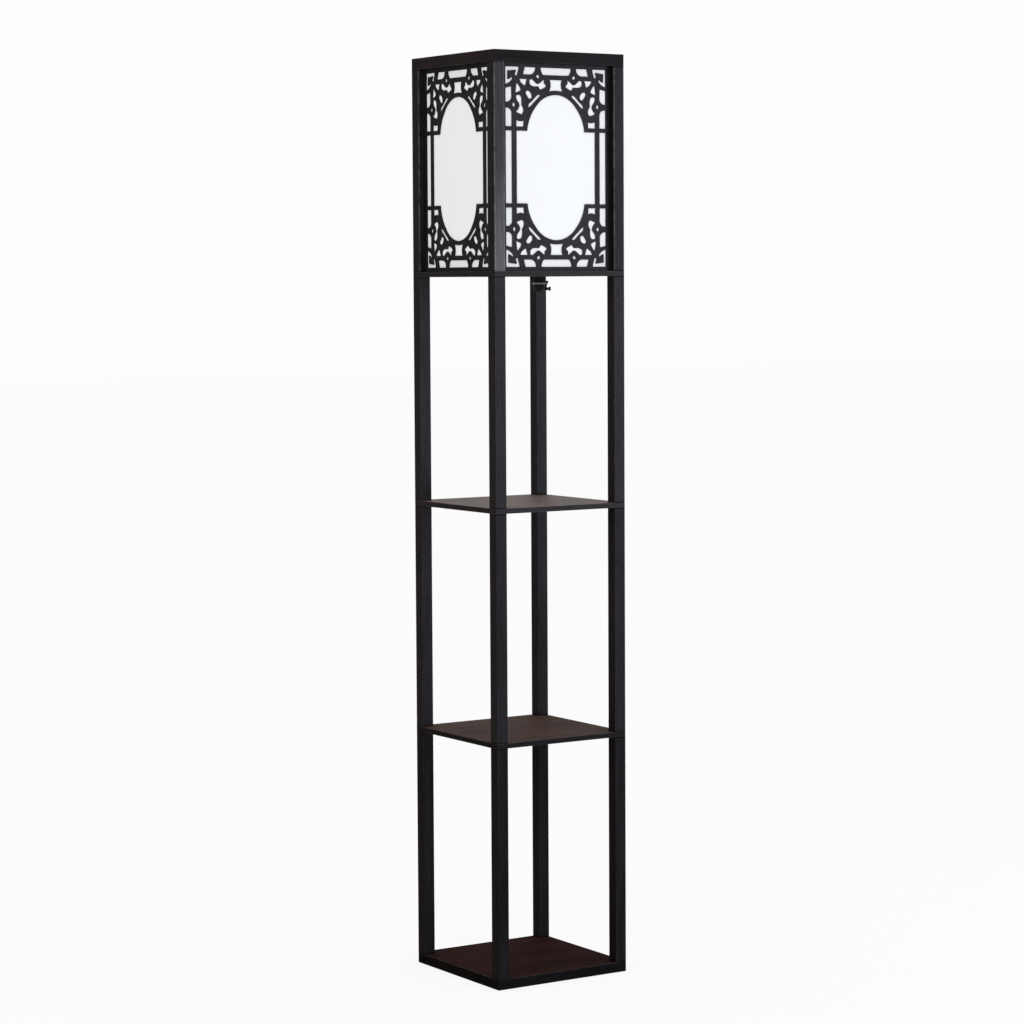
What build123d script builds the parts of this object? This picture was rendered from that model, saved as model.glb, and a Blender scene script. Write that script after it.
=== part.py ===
from build123d import *

import math
import os

# Shelf floor lamp: base board, two open shelves and a fretwork shade on four stacked corner posts.
# Origin at the middle of the underside of the base board, +Z up, front towards -Y. Millimetres.

# ---- driving dimensions: carcass ----
BODY_WIDTH = 266.0
POST_SIDE = 21.5
BASE_THICKNESS = 18.0
SHELF_THICKNESS = 9.0
LOWER_POST_LENGTH = 398.5
MIDDLE_POST_LENGTH = 392.5
UPPER_POST_LENGTH = 392.5
SHADE_POST_LENGTH = 351.5
TOP_RAIL_HEIGHT = 20.0
EDGE_ROUND = 0.8
BOARD_EDGE_ROUND = 0.5

# ---- driving dimensions: joinery and fasteners ----
STUD_DIAMETER = 6.0
STUD_ENGAGEMENT = 11.0
STUD_CLEARANCE = 0.2
INSERT_DIAMETER = 9.0
INSERT_LENGTH = 13.0
BOLT_HEAD_DIAMETER = 12.0
BOLT_HEAD_HEIGHT = 4.0
BOLT_HEAD_CLEARANCE = 1.0
BOLT_HEAD_INSET = 1.0
HEX_SOCKET_SIZE = 4.0
HEX_SOCKET_DEPTH = 2.4
DOWEL_DIAMETER = 6.0
DOWEL_DEPTH_IN_POST = 16.0
DOWEL_DEPTH_IN_RAIL = 12.0
CORNER_DOWEL_DIAMETER = 5.0
CORNER_DOWEL_DEPTH_IN_RAIL = 6.0
CORNER_DOWEL_DEPTH_IN_SIDE = 14.0

# ---- driving dimensions: shade panels ----
PANEL_RECESS = 11.0
FRET_THICKNESS = 1.5
DIFFUSER_THICKNESS = 1.0
GROOVE_DEPTH = 4.0
GROOVE_CLEARANCE = 0.15
PANEL_SIDE_CLEARANCE = 0.4
PANEL_TOP_CLEARANCE = 0.3
FRET_BORDER_SIDE = 9.3
FRET_BORDER_END = 7.35

# ---- driving dimensions: shade bottom board and lampholder bracket ----
WINDOW_SIDE = 140.0
WINDOW_CORNER_ROUND = 6.0
HOLDER_OFFSET = 44.2
CROSSBAR_WIDTH = 38.0
CROSSBAR_THICKNESS = 1.5
CROSSBAR_LAP = 14.0
CROSSBAR_CORNER_ROUND = 3.0
CROSSBAR_HOLE_CLEARANCE = 0.2
SCREW_DIAMETER = 4.0
SCREW_LENGTH = 7.5
SCREW_HEAD_DIAMETER = 7.6
SCREW_HEAD_HEIGHT = 2.2
SCREW_SPACING = 24.0
SCREW_CLEARANCE = 0.2

# ---- driving dimensions: lampholder, a small Edison screw (E14) size with a turn key ----
SLEEVE_DIAMETER = 21.0
SLEEVE_WALL = 1.6
SLEEVE_DROP = 9.7
SLEEVE_HEIGHT = 41.0
RING_NUT_DIAMETER = 28.0
RING_NUT_HEIGHT = 3.0
RING_NUT_ROUND = 0.8
COLLAR_DIAMETER = 24.8
COLLAR_BORE = 14.0
COLLAR_HEIGHT = 3.9
COLLAR_ROUND = 1.3
CAP_DIAMETER = 20.0
CAP_FOOT_DIAMETER = 14.0
CAP_HEIGHT = 11.7
CAP_RIM_HEIGHT = 2.9
CAP_WALL = 1.2
CAP_BOWL_ANGLE = 45.0
INLET_BORE = 6.0
INLET_DIAMETER = 9.0
INLET_FLANGE_DIAMETER = 11.6
INLET_FLANGE_HEIGHT = 0.9
LATCH_WIDTH = 5.0
LATCH_THICKNESS = 2.0
LATCH_ROOT_RISE = 4.4
LATCH_LEAN = 4.0
LATCH_BARB_GAP = 0.3
LATCH_BARB_HEIGHT = 2.0
LATCH_BARB_OVERLAP = 0.8
KEY_AXIS_RISE = 4.0
KEY_SHAFT_DIAMETER = 3.0
KEY_RUNNING_CLEARANCE = 0.05
KEY_BOSS_DIAMETER = 5.6
KEY_BOSS_REACH = 14.2
KEY_FLANGE_DIAMETER = 6.2
KEY_FLANGE_THICKNESS = 1.4
KEY_FLANGE_GAP = 0.4
KEY_WAIST_LENGTH = 3.2
KEY_WAIST_HEIGHT = 4.2
KEY_PADDLE_LENGTH = 8.3
KEY_PADDLE_HEIGHT = 7.4
KEY_PADDLE_THICKNESS = 2.6
KEY_PADDLE_SLOPE = 1.4
KEY_PADDLE_TIP_ROUND = 1.6
ROTOR_DIAMETER = 5.0
ROTOR_LENGTH = 8.4
ROTOR_CLEARANCE = 0.3
LUG_THICKNESS = 1.6
LUG_WIDTH = 4.6
BLOCK_CLEARANCE = 0.1
BLOCK_HEIGHT = 18.0
CONTACT_SHANK_DIAMETER = 5.0
CONTACT_SHANK_LENGTH = 12.0
CONTACT_HEAD_DIAMETER = 8.0
CONTACT_HEAD_HEIGHT = 1.2
CONTACT_BUTTON_DIAMETER = 4.0
CONTACT_BUTTON_HEIGHT = 1.8
SHELL_DIAMETER = 15.6
SHELL_WALL = 0.4
SHELL_HEIGHT = 22.0
SHELL_FLOOR_CLEARANCE = 0.6

# ---- driving dimensions: bulb ----
TIP_DIAMETER = 4.6
TIP_HEIGHT = 1.6
TIP_TURN_SHARE = 0.6
TIP_RISE_SHARE = 0.25
INSULATOR_HEIGHT = 3.0
SCREW_CAP_DIAMETER = 13.6
SCREW_CAP_LENGTH = 19.0
SCREW_CAP_WALL = 0.6
NECK_STEM_HEIGHT = 4.0
NECK_FLARE_HEIGHT = 20.0
NECK_DIAMETER = 31.0
NECK_WALL = 1.5
GLOBE_DIAMETER = 45.0
GLOBE_WALL = 1.0
GLOBE_LAP = 0.8
LED_BOARD_THICKNESS = 1.2
LED_BOARD_CLEARANCE = 0.3
LED_COUNT = 8
LED_SIDE = 2.4
LED_HEIGHT = 0.7
LED_RING_SHARE = 0.66

# ---- the fretwork drawing: a quarter, mirrored both ways, in hundredths of the half window ----
# Each point is (from the upright middle line, from the level middle line).
FULL_SHARE = 100.0
RAIL_INNER_SHARE = 78.57
RAIL_OUTER_SHARE = 87.77
SHOULDER_LOW_SHARE = 36.34
SHOULDER_HIGH_SHARE = 40.56
ARCH_SPRING_SHARE = 57.44
ARCH_FLANK_SHARES = (53.13, 47.51)
ARCH_HAUNCH_SHARES = (40.61, 60.33)
ARCH_APEX_SHARE = 73.04
HEAD_RAIL_LOW_SHARE = 88.0
HEAD_RAIL_HIGH_SHARE = 92.76
HEAD_HOLE_RADII = (3.3, 2.6)
HEAD_HOLE_ANGLE = 40.0
SIDE_HOLE_RADII = (2.5, 3.5)

# ---- levels and places worked out from the values above ----
HALF_WIDTH = BODY_WIDTH / 2
POST_CENTRE = HALF_WIDTH - POST_SIDE / 2
BAY_HALF = HALF_WIDTH - POST_SIDE
LOWER_SHELF_Z = BASE_THICKNESS + LOWER_POST_LENGTH
UPPER_SHELF_Z = LOWER_SHELF_Z + SHELF_THICKNESS + MIDDLE_POST_LENGTH
SHADE_BOARD_Z = UPPER_SHELF_Z + SHELF_THICKNESS + UPPER_POST_LENGTH
SHADE_Z = SHADE_BOARD_Z + SHELF_THICKNESS
TOP_Z = SHADE_Z + SHADE_POST_LENGTH
CORNERS = {
    "front_left": (-1, -1),
    "front_right": (1, -1),
    "back_left": (-1, 1),
    "back_right": (1, 1),
}
SIDE_TURNS = {"front": 0, "right": 90, "back": 180, "left": 270}

SLEEVE_Z = SHADE_BOARD_Z - SLEEVE_DROP
COLLAR_Z = SLEEVE_Z - COLLAR_HEIGHT
CAP_Z = COLLAR_Z - CAP_HEIGHT
KEY_Z = CAP_Z + KEY_AXIS_RISE
BLOCK_TOP_Z = SLEEVE_Z + BLOCK_HEIGHT
SLEEVE_BORE = SLEEVE_DIAMETER - 2 * SLEEVE_WALL
BULB_Z = BLOCK_TOP_Z + CONTACT_HEAD_HEIGHT + CONTACT_BUTTON_HEIGHT
INSULATOR_Z = BULB_Z + TIP_HEIGHT
SCREW_CAP_Z = INSULATOR_Z + INSULATOR_HEIGHT
NECK_Z = SCREW_CAP_Z + SCREW_CAP_LENGTH
GLOBE_Z = NECK_Z + NECK_STEM_HEIGHT + NECK_FLARE_HEIGHT

nodes = {}


# ---- helpers ----
def block(low, high):
    """A box between two opposite corners."""
    size = [b - a for a, b in zip(low, high)]
    middle = [(a + b) / 2 for a, b in zip(low, high)]
    return Pos(*middle) * Box(*size)


def rod(x, y, low, high, diameter):
    """An upright cylinder between two heights."""
    return Pos(x, y, (low + high) / 2) * Cylinder(diameter / 2, high - low)


def cross_rod(low, high, y, z, diameter):
    """A cylinder along X between two places."""
    return Pos((low + high) / 2, y, z) * Rot(0, 90, 0) * Cylinder(diameter / 2, high - low)


def outline(start, *steps):
    """A closed wire: a step that is a point draws a line, and one that is (via, end) draws an arc."""
    edges = []
    here = start
    for step in steps:
        if isinstance(step[0], tuple):
            edges.append(ThreePointArc(here, *step))
            here = step[1]
        else:
            edges.append(Line(here, step))
            here = step
    if here != start:
        edges.append(Line(here, start))
    return Wire(edges)


def turned(*profile):
    """A solid of revolution about the holder's axis from (radius, height) steps, as outline takes them."""
    face = Plane.XZ * make_face(outline(*profile))
    return Pos(HOLDER_OFFSET, 0, 0) * revolve(face, Axis.Z)


def corners_of(reach):
    """The four places at a distance from both middle lines."""
    return [(sx * reach, sy * reach) for sx, sy in CORNERS.values()]


# ---- carcass ----
def post(x_side, y_side, low, length):
    """A square post at one corner, with its long edges rounded."""
    bar = Box(POST_SIDE, POST_SIDE, length)
    bar = fillet(bar.edges().filter_by(Axis.Z), EDGE_ROUND)
    return Pos(x_side * POST_CENTRE, y_side * POST_CENTRE, low + length / 2) * bar


def insert_bore(x_side, y_side, low):
    """The bore for one threaded insert in a post."""
    return rod(x_side * POST_CENTRE, y_side * POST_CENTRE, low, low + INSERT_LENGTH, INSERT_DIAMETER)


def plain_posts(level, low, length):
    """Four posts between two boards, with an insert bore in each end."""
    for corner, (x_side, y_side) in CORNERS.items():
        bar = post(x_side, y_side, low, length)
        bar -= insert_bore(x_side, y_side, low)
        bar -= insert_bore(x_side, y_side, low + length - INSERT_LENGTH)
        nodes[f"{level}_post_{corner}"] = bar


def panel_groove(side):
    """The groove that takes a fret panel and its diffuser, as one long bar across a side."""
    depth = FRET_THICKNESS + DIFFUSER_THICKNESS + 2 * GROOVE_CLEARANCE
    outer = -HALF_WIDTH + PANEL_RECESS - GROOVE_CLEARANCE
    reach = BAY_HALF + GROOVE_DEPTH
    bar = block((-reach, outer, SHADE_Z), (reach, outer + depth, TOP_Z))
    return Rot(0, 0, SIDE_TURNS[side]) * bar


def shade_posts():
    """Four posts of the shade, grooved on both inner faces, with an insert below and a dowel above."""
    for corner, (x_side, y_side) in CORNERS.items():
        bar = post(x_side, y_side, SHADE_Z, SHADE_POST_LENGTH)
        bar -= insert_bore(x_side, y_side, SHADE_Z)
        bar -= rod(
            x_side * POST_CENTRE, y_side * POST_CENTRE, TOP_Z - DOWEL_DEPTH_IN_POST, TOP_Z, DOWEL_DIAMETER
        )
        for side in SIDE_TURNS:
            bar -= panel_groove(side)
        nodes[f"shade_post_{corner}"] = bar


def board(low, thickness):
    """A full square board with eased edges and a hole for the stud at each corner."""
    plate = Box(BODY_WIDTH, BODY_WIDTH, thickness)
    plate = fillet(plate.edges().filter_by(Axis.Z), EDGE_ROUND)
    rims = plate.faces().filter_by(Axis.Z).edges()
    plate = Pos(0, 0, low + thickness / 2) * fillet(rims, BOARD_EDGE_ROUND)
    for x, y in corners_of(POST_CENTRE):
        plate -= rod(x, y, low, low + thickness, STUD_DIAMETER + 2 * STUD_CLEARANCE)
    return plate


def base_board():
    """The base: a thicker board with a recess below for each bolt head."""
    plate = board(0, BASE_THICKNESS)
    recess = BOLT_HEAD_INSET + BOLT_HEAD_HEIGHT
    for x, y in corners_of(POST_CENTRE):
        plate -= rod(x, y, 0, recess, BOLT_HEAD_DIAMETER + 2 * BOLT_HEAD_CLEARANCE)
    nodes["base_board"] = plate


def shade_bottom_board():
    """The board under the shade, with a square window and pilot holes for the crossbar's screws."""
    window = Box(WINDOW_SIDE, WINDOW_SIDE, SHELF_THICKNESS)
    window = fillet(window.edges().filter_by(Axis.Z), WINDOW_CORNER_ROUND)
    plate = board(SHADE_BOARD_Z, SHELF_THICKNESS)
    plate -= Pos(0, 0, SHADE_BOARD_Z + SHELF_THICKNESS / 2) * window
    for x, y in crossbar_screw_places():
        plate -= rod(x, y, SHADE_Z - SCREW_LENGTH, SHADE_Z, SCREW_DIAMETER)
    nodes["shade_bottom_board"] = plate


def top_rails():
    """The frame on top: front and back rails run full width and the side rails stand between them."""
    height = TOP_Z + TOP_RAIL_HEIGHT / 2
    for side, y_side in (("front", -1), ("back", 1)):
        rail = Box(BODY_WIDTH, POST_SIDE, TOP_RAIL_HEIGHT)
        rail = fillet(rail.edges().filter_by(Axis.Z), EDGE_ROUND)
        rims = rail.faces().filter_by(Axis.Z).edges()
        rail = Pos(0, y_side * POST_CENTRE, height) * fillet(rims, BOARD_EDGE_ROUND)
        for x_side in (-1, 1):
            rail -= corner_dowel(x_side, y_side)
            rail -= post_dowel(x_side * POST_CENTRE, y_side * POST_CENTRE)
        nodes[f"top_rail_{side}"] = rail
    for side, x_side in (("left", -1), ("right", 1)):
        rail = Box(POST_SIDE, 2 * BAY_HALF, TOP_RAIL_HEIGHT)
        rail = fillet(rail.edges().filter_by(Axis.Y), BOARD_EDGE_ROUND)
        rail = Pos(x_side * POST_CENTRE, 0, height) * rail
        for y_side in (-1, 1):
            rail -= corner_dowel(x_side, y_side)
        nodes[f"top_rail_{side}"] = rail


def post_dowel(x, y):
    """The upright dowel from a shade post into the rail above it."""
    return rod(x, y, TOP_Z - DOWEL_DEPTH_IN_POST, TOP_Z + DOWEL_DEPTH_IN_RAIL, DOWEL_DIAMETER)


def corner_dowel(x_side, y_side):
    """The level dowel that joins a side rail to the front or back rail."""
    length = CORNER_DOWEL_DEPTH_IN_RAIL + CORNER_DOWEL_DEPTH_IN_SIDE
    middle = BAY_HALF + CORNER_DOWEL_DEPTH_IN_RAIL - length / 2
    place = Pos(x_side * POST_CENTRE, y_side * middle, TOP_Z + TOP_RAIL_HEIGHT / 2)
    return place * Rot(90, 0, 0) * Cylinder(CORNER_DOWEL_DIAMETER / 2, length)


# ---- fasteners, each kind one node ----
def post_inserts():
    """A threaded insert in both ends of every plain post and in the foot of every shade post."""
    levels = [SHADE_Z]
    for low, length in (
        (BASE_THICKNESS, LOWER_POST_LENGTH),
        (LOWER_SHELF_Z + SHELF_THICKNESS, MIDDLE_POST_LENGTH),
        (UPPER_SHELF_Z + SHELF_THICKNESS, UPPER_POST_LENGTH),
    ):
        levels += [low, low + length - INSERT_LENGTH]
    return [
        rod(x, y, low, low + INSERT_LENGTH, INSERT_DIAMETER)
        - rod(x, y, low, low + INSERT_LENGTH, STUD_DIAMETER)
        for low in levels
        for x, y in corners_of(POST_CENTRE)
    ]


def shelf_studs():
    """A double-ended stud through each corner of the three boards."""
    return [
        rod(x, y, low - STUD_ENGAGEMENT, low + SHELF_THICKNESS + STUD_ENGAGEMENT, STUD_DIAMETER)
        for low in (LOWER_SHELF_Z, UPPER_SHELF_Z, SHADE_BOARD_Z)
        for x, y in corners_of(POST_CENTRE)
    ]


def base_bolts():
    """Four bolts that come up through the base into the lower posts."""
    bolts = []
    for x, y in corners_of(POST_CENTRE):
        seat = BOLT_HEAD_INSET + BOLT_HEAD_HEIGHT
        bolt = rod(x, y, BOLT_HEAD_INSET, seat, BOLT_HEAD_DIAMETER)
        bolt += rod(x, y, seat, BASE_THICKNESS + STUD_ENGAGEMENT, STUD_DIAMETER)
        socket = extrude(RegularPolygon(HEX_SOCKET_SIZE / 2, 6, major_radius=False), HEX_SOCKET_DEPTH)
        bolts.append(bolt - Pos(x, y, BOLT_HEAD_INSET) * socket)
    return bolts


# ---- fretwork ----
def drawn(*points):
    """Points of the fretwork drawing, fitted to the window that the borders leave in the panel."""
    across = (BAY_HALF - FRET_BORDER_SIDE) / FULL_SHARE
    up = (SHADE_POST_LENGTH / 2 - FRET_BORDER_END) / FULL_SHARE
    fitted = []
    for point in points:
        if isinstance(point[0], tuple):
            fitted.append(tuple((a * across, b * up) for a, b in point))
        else:
            fitted.append((point[0] * across, point[1] * up))
    return fitted


def quarter_cells():
    """The cells of one quarter that touch neither middle line, from the corner inwards."""
    side = FULL_SHARE
    end = FULL_SHARE
    shoulder = SHOULDER_HIGH_SHARE
    rail = RAIL_OUTER_SHARE
    head_low = HEAD_RAIL_LOW_SHARE
    head_high = HEAD_RAIL_HIGH_SHARE
    corner_meander = drawn(
        (side, end), (73.29, end), ((74.27, 96.67), (76.42, 93.23)), ((79.06, 91.21), (81.21, 92.87)),
        (79.55, 95.37), ((79.45, 96.56), (81.21, 96.97)), (95.60, 95.84), (95.60, 87.41),
        ((91.39, 87.89), (88.26, 89.79)), ((86.40, 89.19), (86.59, 87.65)), ((91.59, 84.68), (98.04, 82.84)),
        (side, 82.84),
    )
    head_cell = drawn(
        (40.61, end), (61.94, end), (65.17, head_high), (50.39, head_high),
        ((43.74, 94.77), (40.61, 98.93)),
    )
    side_cell_high = drawn(
        (side, 78.68), (88.16, 80.34), (rail, 69.83), ((90.90, 66.39), (96.67, 64.96)), (side, 64.96)
    )
    side_cell_low = drawn(
        (side, shoulder), (rail, shoulder), (rail, 54.04),
        ((90.61, 57.60), (96.48, 58.97)), (side, 58.97),
    )
    corner_cell_high = drawn(
        (72.31, head_low), (57.05, head_low), ((58.90, 85.51), (59.78, 83.14)),
        ((61.94, 81.77), (65.17, 82.78)), ((70.06, 85.15), (72.31, head_low)),
    )
    corner_cell_low = drawn(
        (78.28, 83.37), ((76.71, 83.49), (75.24, 82.78)), ((72.41, 80.64), (70.35, 78.50)),
        ((69.86, 77.08), (71.33, 76.13)), (78.67, 74.23), ((80.04, 74.94), (79.94, 76.01)),
    )
    comma_cell = drawn(
        (52.54, 85.27), ((51.57, 87.47), (48.14, 88.24)), ((46.38, 87.89), (44.81, 87.05)),
        (39.53, 84.50), ((35.81, 83.61), (32.09, 84.50)), (25.64, 87.59), ((23.68, 87.65), (23.39, 86.46)),
        ((23.39, 84.92), (22.02, 83.85)), (19.77, 82.42), ((19.47, 81.59), (20.45, 81.00)),
        ((24.46, 79.51), (28.77, 78.38)), ((31.51, 78.38), (33.27, 79.57)),
        ((34.74, 80.88), (37.18, 81.24)), ((43.05, 81.00), (48.53, 81.77)), ((51.86, 83.25), (52.54, 85.27)),
    )
    side_comma_cell = drawn(
        (78.86, 69.83), ((78.28, 71.50), (75.73, 71.97)), (71.82, 71.97), ((69.28, 70.31), (68.20, 67.70)),
        ((67.91, 64.73), (68.40, 62.11)), ((65.56, 59.50), (64.48, 56.77)), ((65.56, 54.28), (68.30, 52.73)),
        ((73.39, 53.68), (78.08, 54.75)), ((78.77, 55.29), (78.38, 55.94)), ((74.56, 58.31), (72.50, 61.16)),
        ((72.99, 63.30), (74.95, 64.96)), ((77.79, 67.22), (78.86, 69.83)),
    )
    drop_cell = drawn(
        (59.88, 74.82), ((58.32, 76.37), (55.19, 76.54)), ((49.90, 74.47), (47.85, 71.26)),
        ((48.73, 69.36), (51.66, 68.59)), ((54.01, 68.82), (55.77, 69.83)), (59.49, 73.16),
        ((60.18, 73.99), (59.88, 74.82)),
    )
    arch_slot = drawn(
        (31.31, 71.85), ((32.00, 72.68), (33.66, 72.92)), ((37.38, 72.15), (40.51, 70.43)), (49.12, 65.44),
        ((53.42, 63.30), (54.89, 61.40)), ((54.60, 60.33), (52.64, 60.27)), ((48.53, 62.11), (44.81, 64.43)),
        (34.83, 69.83), ((32.68, 70.90), (31.31, 71.85)),
    )
    shoulder_cell = drawn(
        (79.06, shoulder), (64.77, shoulder), (64.19, 47.03), ((71.23, 45.67), (78.57, 47.39))
    )
    cells = [
        corner_meander, head_cell, side_cell_high, side_cell_low, corner_cell_high, corner_cell_low,
        comma_cell, side_comma_cell, drop_cell, arch_slot, shoulder_cell,
    ]
    faces = [make_face(outline(*cell)) for cell in cells]
    return faces + knot_holes()


def knot_holes():
    """The two small oval holes of a quarter, where the fretwork ties to its rails."""
    head_hole, side_hole = drawn((35.81, 90.86), (83.76, 62.11))
    return [
        Pos(*head_hole) * Rot(0, 0, HEAD_HOLE_ANGLE) * Ellipse(*HEAD_HOLE_RADII),
        Pos(*side_hole) * Ellipse(*SIDE_HOLE_RADII),
    ]


def middle_cells():
    """The cells that cross a middle line: two above the arch, the side column and the great opening."""
    end = FULL_SHARE
    head_low = HEAD_RAIL_LOW_SHARE
    head_high = HEAD_RAIL_HIGH_SHARE
    head_cell = drawn(
        (30.23, end), ((29.06, 95.84), (25.44, head_high)), (-25.44, head_high),
        ((-29.06, 95.84), (-30.23, end)),
    )
    arch_cell = drawn(
        (12.33, head_low), (-12.33, head_low), ((-10.57, 83.02), (-13.7, 76.6)),
        ((0, 77.38), (13.7, 76.6)), ((10.57, 83.02), (12.33, head_low)),
    )
    upright = [make_face(outline(*cell)) for cell in (head_cell, arch_cell)]
    column = make_face(outline(*side_column()))
    return (
        upright
        + [mirror(face, Plane.XZ) for face in upright]
        + [make_face(outline(*great_opening())), column, mirror(column, Plane.YZ)]
    )


def great_opening():
    """The cusped opening in the middle: straight between the shoulders, an arch above and one below."""
    rail = RAIL_INNER_SHARE
    shoulder = SHOULDER_LOW_SHARE
    spring = ARCH_SPRING_SHARE
    flank_a, flank_b = ARCH_FLANK_SHARES
    haunch_a, haunch_b = ARCH_HAUNCH_SHARES
    apex = ARCH_APEX_SHARE
    return drawn(
        (rail, -shoulder), (rail, shoulder), (spring, shoulder),
        ((flank_a, flank_b), (haunch_a, haunch_b)), ((0, apex), (-haunch_a, haunch_b)),
        ((-flank_a, flank_b), (-spring, shoulder)), (-rail, shoulder), (-rail, -shoulder),
        (-spring, -shoulder), ((-flank_a, -flank_b), (-haunch_a, -haunch_b)),
        ((0, -apex), (haunch_a, -haunch_b)), ((flank_a, -flank_b), (spring, -shoulder)),
    )


def side_column():
    """The tall narrow cell between a rail and the panel's border."""
    rail = RAIL_OUTER_SHARE
    shoulder = SHOULDER_LOW_SHARE
    return drawn(
        (FULL_SHARE, shoulder), (rail, shoulder), (rail, -shoulder), (FULL_SHARE, -shoulder)
    )


def fretwork():
    """The face of a fret panel: a plate with all its cells cut out."""
    width = 2 * (BAY_HALF + GROOVE_DEPTH - PANEL_SIDE_CLEARANCE)
    height = SHADE_POST_LENGTH - PANEL_TOP_CLEARANCE
    plate = Pos(0, -PANEL_TOP_CLEARANCE / 2) * Rectangle(width, height)
    right = quarter_cells()
    right += [mirror(face, Plane.XZ) for face in right]
    cells = right + [mirror(face, Plane.YZ) for face in right] + middle_cells()
    return plate - cells


def panels():
    """A fret panel and a diffuser sheet behind it on each side, standing on the shade bottom board."""
    face = fretwork()
    outer = face.bounding_box().size
    middle = SHADE_Z + SHADE_POST_LENGTH / 2
    fret_front = -HALF_WIDTH + PANEL_RECESS
    upright = Pos(0, fret_front + FRET_THICKNESS, middle) * Rot(90, 0, 0)
    fret = upright * extrude(face, FRET_THICKNESS)
    sheet = block(
        (-outer.X / 2, fret_front + FRET_THICKNESS, SHADE_Z),
        (outer.X / 2, fret_front + FRET_THICKNESS + DIFFUSER_THICKNESS, SHADE_Z + outer.Y),
    )
    for side, turn in SIDE_TURNS.items():
        nodes[f"fret_panel_{side}"] = Rot(0, 0, turn) * fret
        nodes[f"diffuser_{side}"] = Rot(0, 0, turn) * sheet


# ---- lampholder bracket ----
def crossbar_screw_places():
    """The four screw places: two at each end of the crossbar, over the rim of the window."""
    reach = WINDOW_SIDE / 2 + CROSSBAR_LAP / 2
    return [
        (HOLDER_OFFSET + x_side * SCREW_SPACING / 2, y_side * reach)
        for x_side in (-1, 1)
        for y_side in (-1, 1)
    ]


def holder_bracket():
    """The steel crossbar over the window, its screws and the two ring nuts that clamp the sleeve to it."""
    bar = Box(CROSSBAR_WIDTH, WINDOW_SIDE + 2 * CROSSBAR_LAP, CROSSBAR_THICKNESS)
    bar = fillet(bar.edges().filter_by(Axis.Z), CROSSBAR_CORNER_ROUND)
    bar = Pos(HOLDER_OFFSET, 0, SHADE_Z + CROSSBAR_THICKNESS / 2) * bar
    top = SHADE_Z + CROSSBAR_THICKNESS
    bar -= rod(HOLDER_OFFSET, 0, SHADE_Z, top, SLEEVE_DIAMETER + 2 * CROSSBAR_HOLE_CLEARANCE)
    screws = []
    for x, y in crossbar_screw_places():
        bar -= rod(x, y, SHADE_Z, top, SCREW_DIAMETER + 2 * SCREW_CLEARANCE)
        head = Pos(x, y, top + SCREW_HEAD_HEIGHT / 2) * Cylinder(SCREW_HEAD_DIAMETER / 2, SCREW_HEAD_HEIGHT)
        head = fillet(head.edges().sort_by(Axis.Z)[-1], SCREW_HEAD_HEIGHT / 2)
        screws.append(head + rod(x, y, SHADE_Z - SCREW_LENGTH, top, SCREW_DIAMETER))
    nodes["holder_crossbar"] = bar
    nodes["crossbar_screws"] = Compound(children=screws)
    nodes["holder_ring_nuts"] = Compound(children=[ring_nut(SHADE_Z - RING_NUT_HEIGHT), ring_nut(top)])


def ring_nut(low):
    """A round nut on the sleeve's outer thread."""
    ring = rod(HOLDER_OFFSET, 0, low, low + RING_NUT_HEIGHT, RING_NUT_DIAMETER)
    ring = fillet(ring.edges(), RING_NUT_ROUND)
    return ring - rod(HOLDER_OFFSET, 0, low, low + RING_NUT_HEIGHT, SLEEVE_DIAMETER)


# ---- lampholder ----
def holder_sleeve():
    """The plain barrel that shows below the shade and holds the insulating block."""
    barrel = rod(HOLDER_OFFSET, 0, SLEEVE_Z, SLEEVE_Z + SLEEVE_HEIGHT, SLEEVE_DIAMETER)
    nodes["holder_sleeve"] = barrel - rod(
        HOLDER_OFFSET, 0, SLEEVE_Z, SLEEVE_Z + SLEEVE_HEIGHT, SLEEVE_BORE
    )


def holder_collar():
    """The bead ring between sleeve and cap, which also carries the block."""
    ring = rod(HOLDER_OFFSET, 0, COLLAR_Z, SLEEVE_Z, COLLAR_DIAMETER)
    ring = fillet(ring.edges(), COLLAR_ROUND)
    nodes["holder_collar"] = ring - rod(HOLDER_OFFSET, 0, COLLAR_Z, SLEEVE_Z, COLLAR_BORE)


def bowl_radii():
    """Half widths of the cap: at its rim, at its foot and at the turn between them."""
    rim = CAP_DIAMETER / 2
    foot = CAP_FOOT_DIAMETER / 2
    turn = foot + (rim - foot) * math.sin(math.radians(CAP_BOWL_ANGLE))
    return rim, foot, turn


def cap_latch():
    """The snap latch: a tongue on the boss that leans out past the collar, with a barb over it."""
    outer = KEY_BOSS_REACH
    inner = outer - LATCH_THICKNESS
    root = KEY_Z + LATCH_ROOT_RISE
    barb = SLEEVE_Z + LATCH_BARB_GAP
    tongue = outline(
        (inner, KEY_Z), (outer, KEY_Z), (outer, root), (outer + LATCH_LEAN, barb + LATCH_BARB_HEIGHT),
        (inner + LATCH_LEAN / 2, barb + LATCH_BARB_HEIGHT), (COLLAR_DIAMETER / 2 - LATCH_BARB_OVERLAP, barb),
        (inner + LATCH_LEAN * (barb - root) / (barb + LATCH_BARB_HEIGHT - root), barb), (inner, root),
    )
    return Pos(HOLDER_OFFSET, 0, 0) * extrude(Plane.XZ * make_face(tongue), LATCH_WIDTH / 2, both=True)


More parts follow.
